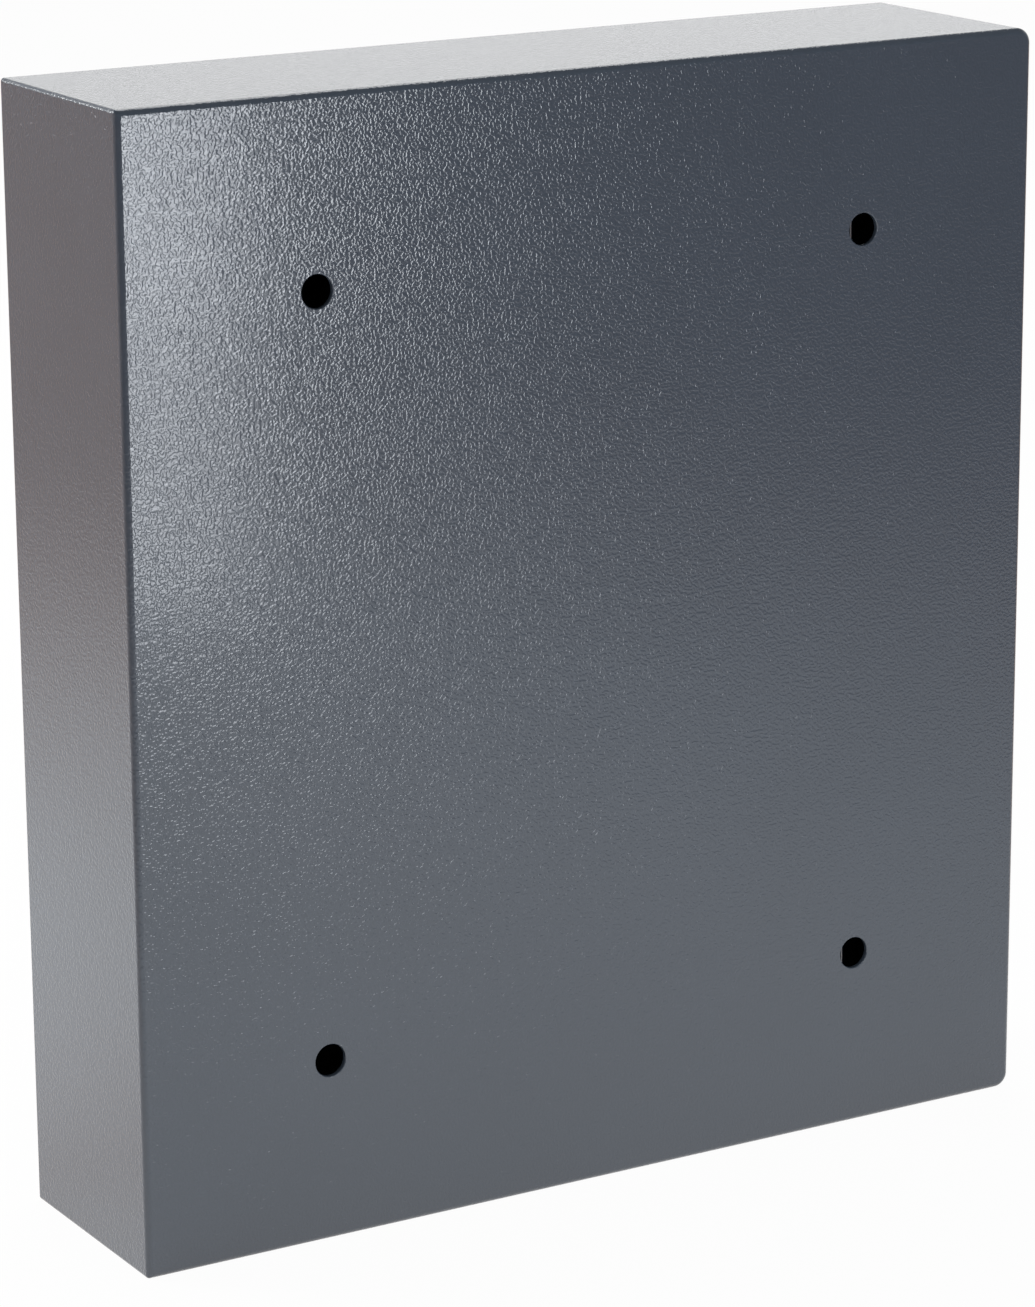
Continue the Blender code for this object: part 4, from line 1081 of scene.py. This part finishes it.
knob_low, knob_high, knob_centre, _ = measured("knob")
knob_axis = knob_centre.xz
knob_radius = (knob_high.x - knob_low.x) / 2
knob_top = knob_low.y + 2 * INK
disc_radius = knob_radius - RIDGE
disc_front = knob_high.y - KNOB_BASE
knob = new_object("knob_grip", turned(rounded_path([
    (0, knob_high.y, 0), (disc_radius, knob_high.y, TURNED_EDGE), (disc_radius, disc_front, KNOB_EDGE),
    (0, disc_front, 0)]), "Y", knob_axis))
bar_half = knob_radius - KNOB_EDGE
bar_foot = knob_high.y - KNOB_BASE / 2
bar_path = rounded_path([(KNOB_FLAT, bar_foot, 0), (0, bar_foot, 0), (0.5 * MM, knob_top, KNOB_EDGE),
                         (KNOB_FLAT, knob_top, 0)])
bar = slab(bar_path, KNOB_GRIP / 2, bar_half, KNOB_GRIP / 2 - 0.3 * MM, "Y", knob_axis)
long_edges = [line for line in bar.edges if line.calc_length() > bar_half]
bmesh.ops.subdivide_edges(bar, edges=long_edges, cuts=BAR_CUTS, use_grid_fill=True)
for vert in bar.verts:
    reach = (vert.co.z - knob_centre.z) / bar_half
    vert.co.x = knob_centre.x + (vert.co.x - knob_centre.x) * (1 - KNOB_SCOOP * (1 - reach ** 2) ** 2)
bore_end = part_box("spindle")[0].y - FIT
carve(knob, [bar], "UNION")
carve(knob, [drill("Y", knob_axis, SPINDLE_HOLE, bore_end, knob_high.y + MM)])
finish(knob, black_plastic, "knob_set", "black_plastic", "knob")

ridge_tree, given = new_tree("ridge_ring", Count=WHOLE, Radius=FLOAT, Ridge=FLOAT, Length=FLOAT)
circle = given["Count"].node("GeometryNodeMeshCircle", None,
                             {"Vertices": given["Count"], "Radius": given["Radius"]})
rod = circle.node("GeometryNodeMeshCylinder", None,
                  {"Vertices": 10, "Radius": given["Ridge"], "Depth": given["Length"]})
ring = circle.node("GeometryNodeInstanceOnPoints", None, {"Points": circle, "Instance": rod})
end_tree(ring, given["Finish"])
ridges = grown("knob_ridges", ridge_tree, Count=RIDGE_COUNT, Radius=disc_radius, Ridge=RIDGE,
               Length=KNOB_BASE - 2 * KNOB_EDGE, Finish=black_plastic)
ridge_middle = Vector((knob_centre.x, bar_foot, knob_centre.z))
ridges.data.transform(Matrix.Translation(ridge_middle) @ Matrix.Rotation(math.pi / 2, 4, "X"))
finish(ridges, black_plastic, "knob_set", "black_plastic")
mark_place = (knob_centre.x, knob_centre.z + bar_half - MARK_LENGTH)
mark = new_object("knob_mark", slab([(0, knob_top + INK), (0, knob_low.y)], MARK_WIDTH / 2, MARK_LENGTH / 2,
                                    MARK_WIDTH / 2, "Y", mark_place))
finish(mark, pale_print, "knob_set", "key_grey")
print("knob:", len(knob.data.polygons), "faces and", RIDGE_COUNT, "ridges")

# %% [markdown]
# ## Marks, window and cap
#
# Two short lines on the panel show the knob's two positions. The window over the keys is a strip of
# smoked plastic that lights up when a code is taken. The round cap hides the emergency lock, and a notch
# at its edge takes a fingernail to pull it off.

# %% Panel marks, window and cap
TICK_REACH = 4.5 * MM
TICK_LENGTH = 3.5 * MM
TICK_WIDTH = 0.9 * MM
NOTCH = 2.2 * MM

for name, angle in (("tick_open", 90), ("tick_locked", 180)):
    away = knob_radius + TICK_REACH
    upright = angle == 90
    turn = math.radians(angle)
    tick_place = (knob_centre.x + away * math.cos(turn), knob_centre.z + away * math.sin(turn))
    sizes = (TICK_WIDTH / 2, TICK_LENGTH / 2) if upright else (TICK_LENGTH / 2, TICK_WIDTH / 2)
    tick = new_object(name, slab([(0, panel_low.y + INK), (0, panel_low.y - INK)], *sizes, TICK_WIDTH / 2,
                                 "Y", tick_place))
    finish(tick, pale_print, "door", "key_grey")

pane_low, pane_high, pane_centre, pane_half = measured("indicator_window")
pane_path = rounded_path([(MM, pane_high.y, 0), (0, pane_high.y, CRISP), (0, pane_low.y, 0.4 * MM),
                          (MM, pane_low.y, 0)])
pane = new_object("window_pane", slab(pane_path, pane_half.x, pane_half.z, 0.8 * MM, "Y", pane_centre.xz,
                                      steps=4))
finish(pane, smoked_plastic, "door", "window_smoke", "indicator_window")

cap = new_object("lock_cap", returned("key_cap", "Y", 0.5 * MM))
notch_place = (cap_centre.x, cap_low.z + NOTCH / 4)
carve(cap, [drill("Y", notch_place, NOTCH, cap_low.y - MM, cap_low.y + MM, steps=32)])
finish(cap, black_plastic, "cap", "black_plastic", "key_cap")
print("front: 2 marks, window and cap")

# %% [markdown]
# ## The key board
#
# Behind the keys lies a circuit board with a metal dome under each of them, which clicks when it is
# pressed. The domes sit on a grid with the keys' own spacing, so a grid of points carries copies of one
# flattened ball.

# %% The board and its domes
DOME_RADIUS = 4 * MM
DOME_HEIGHT = 0.30 * MM

board_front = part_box("key_board")[0].y
board = new_object("key_board_plate", softened("key_board", CRISP))
finish(board, board_green, "door", "board_green", "key_board")
middles = [measured(node)[2] for node in key_nodes]
columns = sorted({round(middle.x, 5) for middle in middles})
rows = sorted({round(middle.z, 5) for middle in middles})
dome_tree, given = new_tree("dome_grid", Columns=WHOLE, Rows=WHOLE, Width=FLOAT, Height=FLOAT, Radius=FLOAT,
                            Flatness=FLOAT)
points = given["Columns"].node("GeometryNodeMeshGrid", None,
                               {"Size X": given["Width"], "Size Y": given["Height"],
                                "Vertices X": given["Columns"], "Vertices Y": given["Rows"]})
ball = points.node("GeometryNodeMeshUVSphere", None, {"Segments": 20, "Rings": 10, "Radius": given["Radius"]})
flat = points.node("ShaderNodeCombineXYZ", None, {"X": 1.0, "Y": 1.0, "Z": given["Flatness"]})
domes = points.node("GeometryNodeInstanceOnPoints", None, {"Points": points, "Instance": ball, "Scale": flat})
end_tree(domes, given["Finish"])
dome_field = grown("key_domes", dome_tree, Columns=len(columns), Rows=len(rows),
                   Width=columns[-1] - columns[0], Height=rows[-1] - rows[0], Radius=DOME_RADIUS,
                   Flatness=DOME_HEIGHT / DOME_RADIUS, Finish=bright_steel["Y"])
dome_place = Vector(((columns[0] + columns[-1]) / 2, board_front, (rows[0] + rows[-1]) / 2))
dome_field.data.transform(Matrix.Translation(dome_place) @ Matrix.Rotation(math.pi / 2, 4, "X"))
finish(dome_field, bright_steel["Y"], "door", "bright_steel")
print("domes:", len(columns), "by", len(rows))

# %% [markdown]
# ## Springs
#
# A coil spring pushes the solenoid's plunger down. It is a helix of wire, and one tree makes it from its
# number of turns, its radii and its height. The same tree makes the short contact springs at the cells.
# The plunger's spring rides on no body.

# %% The plunger's spring
SPRING_TURNS = 5.0
SPRING_WIRE = 0.45 * MM

coil_tree, given = new_tree("coil", Turns=FLOAT, Radius=FLOAT, Wire=FLOAT, Height=FLOAT)
helix = given["Turns"].node("GeometryNodeCurveSpiral", None,
                            {"Resolution": 40, "Rotations": given["Turns"], "Start Radius": given["Radius"],
                             "End Radius": given["Radius"], "Height": given["Height"]})
profile = helix.node("GeometryNodeCurvePrimitiveCircle", None, {"Resolution": 12, "Radius": given["Wire"]})
wire = helix.node("GeometryNodeCurveToMesh", None,
                  {"Curve": helix, "Profile Curve": profile, "Fill Caps": True})
end_tree(wire, given["Finish"])

spring_low, spring_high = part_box("solenoid_spring")
coil_low, coil_high, coil_centre, coil_half = measured("solenoid_coil")
spring_radius = (spring_high.y - spring_low.y) / 2 - SPRING_WIRE
spring = grown("plunger_spring", coil_tree, Turns=SPRING_TURNS, Radius=spring_radius, Wire=SPRING_WIRE,
               Height=spring_high.z - spring_low.z - 2 * SPRING_WIRE, Finish=bright_steel["Z"])
spring.data.transform(Matrix.Translation((coil_centre.x, coil_centre.y, spring_low.z + SPRING_WIRE)))
finish(spring, bright_steel["Z"], None, "bright_steel", "solenoid_spring")
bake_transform(spring)
print("spring:", len(spring.data.polygons), "faces, radius %.2f mm" % (spring_radius / MM))

# %% [markdown]
# ## The solenoid's coil
#
# The coil is wire on a bobbin. The bobbin's two flanges stand out a little over the windings, and the
# plunger runs in a bore through the middle. The rings step in behind the first flange and out again at
# the second. The faces between the flanges take the finish of the tape, and all others that of the
# bobbin's plastic.

# %% The coil on its bobbin
FLANGE = 1.6 * MM
WINDING_STEP = 1.0 * MM
COIL_CORNER = 6 * MM
COIL_FLAT = 4 * MM
PLUNGER_BORE = 3.4 * MM

coil_axis = coil_centre.xy
coil_path = rounded_path([
    (COIL_FLAT, coil_low.z, 0), (0, coil_low.z, CRISP), (0, coil_low.z + FLANGE, CRISP),
    (WINDING_STEP, coil_low.z + FLANGE, 0), (WINDING_STEP, coil_high.z - FLANGE, 0),
    (0, coil_high.z - FLANGE, CRISP), (0, coil_high.z, CRISP), (COIL_FLAT, coil_high.z, 0)])
coil = new_object("coil_bobbin", slab(coil_path, coil_half.x, coil_half.y, COIL_CORNER, "Z", coil_axis))
carve(coil, [drill("Z", coil_axis, PLUNGER_BORE, coil_low.z - MM, coil_high.z + MM)])
finish(coil, black_plastic, "door", "coil_tape", "solenoid_coil")
taped = second_finish(coil, coil_tape, lambda middle, normal: (
    coil_low.z + FLANGE < middle.z < coil_high.z - FLANGE and
    (middle.xy - coil_centre.xy).length > 1.5 * PLUNGER_BORE))
print("coil:", taped, "faces of tape out of", len(coil.data.polygons))

# %% [markdown]
# ## The lock cover
#
# A folded tray of thin sheet closes the lock in. It has a flange at its top and bottom for the screws, a
# cut-out for the cells, a hole for the reset button and two holes in its wall for the bolts. The tray is
# drawn like the body shell, the flanges are joined to it, and flared cutters take out the openings, as a
# punch would.

# %% The cover with its flanges and openings
COVER_SHEET = 1.2 * MM
COVER_CORNER = 5 * MM
COVER_FOLD = 1.2 * MM
COVER_FLANGE = 10 * MM
COVER_FLAT = 8 * MM
FLANGE_FLAT = 2 * MM
BAY_INSET = 2.1 * MM
BOLT_GAP = 0.3 * MM
SCREW_HOLE = 1.8 * MM
RESET_HOLE = 4.3 * MM
PUNCH_EDGE = 0.25 * MM
PUNCH_STEPS = 48

cover_low, cover_high, cover_centre, cover_half = measured("lock_cover")
cover_path = rounded_path([
    (COVER_FLAT, cover_high.y, 0), (0, cover_high.y, COVER_FOLD), (0, cover_low.y, CRISP),
    (COVER_SHEET, cover_low.y, CRISP), (COVER_SHEET, cover_high.y - COVER_SHEET, 0.6 * MM),
    (COVER_FLAT, cover_high.y - COVER_SHEET, 0)])
cover = new_object("cover_tray", slab(cover_path, cover_half.x, cover_half.z - COVER_FLANGE, COVER_CORNER,
                                      "Y", cover_centre.xz, least=MM))
flange_top = cover_low.y + COVER_SHEET
flange_path = rounded_path([(FLANGE_FLAT, cover_low.y, 0), (0, cover_low.y, CRISP),
                            (0, flange_top, 0.3 * MM), (FLANGE_FLAT, flange_top, 0)])
flange_half = (COVER_FLANGE + COVER_SHEET / 2) / 2
flanges = [slab(flange_path, cover_half.x - COVER_CORNER, flange_half, 2.5 * MM, "Y",
                (cover_centre.x, cover_centre.z + end * (cover_half.z - flange_half))) for end in (1, -1)]
carve(cover, flanges, "UNION")

screw_nodes = sorted(name for name in frame["nodes"] if name.startswith("cover_screw"))
bolt_nodes = ("upper_bolt", "lower_bolt")
bolt_radius = (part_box("upper_bolt")[1].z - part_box("upper_bolt")[0].z) / 2
left = (cover_low.x, cover_low.x + COVER_SHEET, PUNCH_EDGE)
front = (cover_low.y, flange_top, PUNCH_EDGE)
rear = (cover_high.y - COVER_SHEET, cover_high.y, PUNCH_EDGE)
carve(cover, [punch("X", measured(node)[2].yz, bolt_radius + BOLT_GAP, *left, PUNCH_STEPS)
              for node in bolt_nodes])
carve(cover, [punch("Y", measured(node)[2].xz, SCREW_HOLE, *front, PUNCH_STEPS) for node in screw_nodes])
carve(cover, [punch("Y", measured("reset_button")[2].xz, RESET_HOLE, *rear, PUNCH_STEPS),
              window_cutter("battery_holder", -BAY_INSET, 0.8 * MM, *rear)])
finish(cover, slate_coat, "door", "slate_coat", "lock_cover")
print("cover:", len(cover.data.polygons), "faces")

# %% [markdown]
# ## Screws
#
# Four pan-head screws hold the cover. One screw is made with a cross in its head, and a tree puts a copy
# at each place, turned by a chance angle, because no fitter leaves them all alike. The seed is fixed, so
# they always come out the same.

# %% One screw, four places
CROSS_LENGTH = 3.8 * MM
CROSS_WIDTH = 0.9 * MM
CROSS_DEPTH = 1.1 * MM
SCREW_SEED = 7
CHOICE = "NodeSocketObject"


def screw_middle(node):
    centre = measured(node)[2]
    return Vector((centre.x, 0, centre.z))


head_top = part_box(screw_nodes[0])[1].y
screw = new_object("screw_form", returned(screw_nodes[0], "Y", 0.5 * MM))
middle = screw_middle(screw_nodes[0])
cross_path = [(0.1 * MM, head_top - CROSS_DEPTH), (0, head_top + MM)]
carve(screw, [slab(cross_path, *half, 0.25 * MM, "Y", (middle.x, middle.z), steps=2)
              for half in ((CROSS_LENGTH / 2, CROSS_WIDTH / 2), (CROSS_WIDTH / 2, CROSS_LENGTH / 2))])
screw.data.transform(Matrix.Translation(-middle))

copy_tree, given = new_tree("copies_at_points", Copy=CHOICE, Turn=FLOAT, Seed=WHOLE)
form = given["Copy"].node("GeometryNodeObjectInfo", None, {"Object": given["Copy"]}, "Geometry")
chance = form.node("FunctionNodeRandomValue", {"data_type": "FLOAT"},
                   {2: 0.0, 3: given["Turn"], "Seed": given["Seed"]}, 1)
turn = form.node("ShaderNodeCombineXYZ", None, {"Y": chance})
placed = form.node("GeometryNodeInstanceOnPoints", None,
                   {"Points": given["Geometry"], "Instance": form, "Rotation": turn})
end_tree(placed, given["Finish"])


def at_points(name, points, form_object, material, turn=0.0, seed=0):
    """Copies of an object at several places, as one mesh. The object itself is used up."""
    base = bpy.data.meshes.new(name)
    base.from_pydata(points, [], [])
    made = grown(name, copy_tree, base, Copy=form_object, Turn=turn, Seed=seed, Finish=material)
    bpy.data.objects.remove(form_object, do_unlink=True)
    return made


screws = at_points("cover_screws", [screw_middle(node) for node in screw_nodes], screw, zinc_steel,
                   math.pi / 2, SCREW_SEED)
finish(screws, zinc_steel, "door", "zinc_steel", *screw_nodes)
print("screws:", len(screw_nodes), "with", len(screws.data.polygons), "faces")

# %% [markdown]
# ## Cells and their holder
#
# Four small cells lie side by side in a moulded holder, each turned round against the next, so that short
# contacts can join them in a row. A cell is a turned can with a nub at one end. The sleeve covers the
# middle, and the ends show bare steel. The contact springs come from the coil tree again.

# %% Holder, cells and contact springs
NUB_RADIUS = 2.7 * MM
NUB_LENGTH = 1.2 * MM
SLEEVE_MARGIN = 1.0 * MM
CONTACT_WIRE = 0.22 * MM
CONTACT_TURNS = 2.0
CONTACT_RADIUS = 3 * MM
CONTACT_HEIGHT = 0.8 * MM

holder = new_object("holder_tray", softened("battery_holder", 0.3 * MM))
finish(holder, black_plastic, "door", "black_plastic", "battery_holder")
cell_nodes = sorted(name for name in frame["nodes"] if name.startswith("battery_cell"))
flat_ends = []
for number, node in enumerate(cell_nodes):
    low, high, centre, _ = measured(node)
    radius = (high.z - low.z) / 2
    flat_end, nub_end = (low.x, high.x) if number % 2 else (high.x, low.x)
    step = 1 if nub_end > flat_end else -1
    shoulder = nub_end - step * NUB_LENGTH
    rim_end = flat_end + step * 0.3 * MM
    path = rounded_path([
        (0, flat_end, 0), (0.75 * radius, flat_end, CRISP), (0.80 * radius, rim_end, CRISP),
        (radius, rim_end, 0.7 * MM), (radius, shoulder, 0.9 * MM), (NUB_RADIUS, shoulder, CRISP),
        (NUB_RADIUS, nub_end, 0.5 * MM), (0, nub_end, 0)])
    cell = new_object("cell_%d" % (number + 1), turned(path, "X", centre.yz))
    finish(cell, bright_steel["X"], "door", "cell_sleeve", node)
    ends = sorted((flat_end + step * SLEEVE_MARGIN, shoulder - step * SLEEVE_MARGIN))
    second_finish(cell, cell_sleeve,
                  lambda middle, normal: ends[0] < middle.x < ends[1] and abs(normal.x) < 0.5)
    flat_ends.append(Vector((flat_end, centre.y, centre.z)))
contact_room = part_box("battery_holder")[1].x - BAY_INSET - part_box(cell_nodes[0])[1].x
contact = grown("contact_form", coil_tree, Turns=CONTACT_TURNS, Radius=CONTACT_RADIUS, Wire=CONTACT_WIRE,
                Height=CONTACT_HEIGHT, Finish=bright_steel["X"])
lying = Matrix.Rotation(math.pi / 2, 4, "Y")
contact.data.transform(Matrix.Translation((-CONTACT_HEIGHT / 2, 0, 0)) @ lying)
contacts = at_points("contact_springs", flat_ends, contact, bright_steel["X"])
finish(contacts, bright_steel["X"], "door", "bright_steel")
print("cells:", len(cell_nodes), "with %.2f mm of room at each end" % (contact_room / MM))

# %% [markdown]
# ## The battery cover
#
# The cells are closed with a flat slide. A row of low bars near one end is where the thumb pushes, and an
# arrow shows the way. The bars are copies on a line of points, and like the arrow they stay below the
# solid's face.

# %% The slide, its bars and its arrow
LID_CORNER = 3 * MM
LID_RELIEF = 0.4 * MM
BAR_COUNT = 6
BAR_PITCH = 2.4 * MM
BAR_WIDTH = 1.1 * MM
BAR_LENGTH = 30 * MM
ARROW = 7 * MM

lid_low, lid_high, lid_centre, lid_half = measured("battery_cover")
lid_face = lid_high.y - LID_RELIEF
lid_foot = lid_low.y + 0.3 * MM
lid_path = rounded_path([(LID_CORNER, lid_low.y, 0), (0, lid_low.y, CRISP), (0, lid_face, 0.4 * MM),
                         (LID_CORNER, lid_face, 0)])
lid = new_object("battery_slide", slab(lid_path, lid_half.x, lid_half.z, LID_CORNER, "Y", lid_centre.xz))
arrow_tip = lid_high.z - 2 * ARROW
arrow_corners = [(lid_centre.x, arrow_tip + ARROW), (lid_centre.x - ARROW / 2, arrow_tip),
                 (lid_centre.x + ARROW / 2, arrow_tip)]
arrow_path = rounded_path([(across, along, 0.5 * MM) for across, along in arrow_corners], closed=True)
arrow = skin([[Vector((point.x, level, point.y)) for point in arrow_path]
              for level in (lid_foot, lid_high.y)])
carve(lid, [arrow], "UNION")
finish(lid, black_plastic, "battery_lid", "black_plastic", "battery_cover")

grip_path = rounded_path([(BAR_WIDTH / 3, lid_foot, 0), (0, lid_foot, 0), (0, lid_high.y, 0.35 * MM),
                          (BAR_WIDTH / 3, lid_high.y, 0)])
grip_bar = new_object("bar_form", slab(grip_path, BAR_LENGTH / 2, BAR_WIDTH / 2, BAR_WIDTH / 2, "Y", (0, 0),
                                       least=0.1 * MM, steps=4))
first_bar = lid_low.z + 4 * BAR_PITCH
bar_places = [Vector((lid_centre.x, 0, first_bar + number * BAR_PITCH)) for number in range(BAR_COUNT)]
grip_bars = at_points("slide_bars", bar_places, grip_bar, black_plastic)
finish(grip_bars, black_plastic, "battery_lid", "black_plastic")
print("slide:", BAR_COUNT, "bars")

# %% [markdown]
# ## Reset button and lead
#
# The reset button is a small red plunger with a rim that keeps it in. The lead from the board to the
# cells is a round cable, held in its bends by the hole in the door and by the holder, so it stays as the
# solid has it. One level of subdivision turns its facets into a round section.

# %% Button and lead
button = new_object("reset_plunger", returned("reset_button", "Y", 0.5 * MM))
finish(button, red_plastic, "reset", "reset_red", "reset_button")
lead = new_object("board_lead", merged("keypad_lead"))
smoother = lead.modifiers.new("round", "SUBSURF")
smoother.levels = 1
smoother.render_levels = 1
settle(lead)
finish(lead, cable_rubber, "door", "lead_black", "keypad_lead")
print("lead:", len(lead.data.polygons), "faces")

# %% [markdown]
# ## Measuring
#
# The looks may not make the safe larger than its solids, because other parts are fitted to those. So its
# box is measured once more, and how much it grew over the first one is printed.

# %% Measure
visual_low, visual_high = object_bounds()
growth = (visual_high - visual_low) - (cad_high - cad_low)
print("size: grew by", [round(value / MM, 2) for value in growth], "mm")
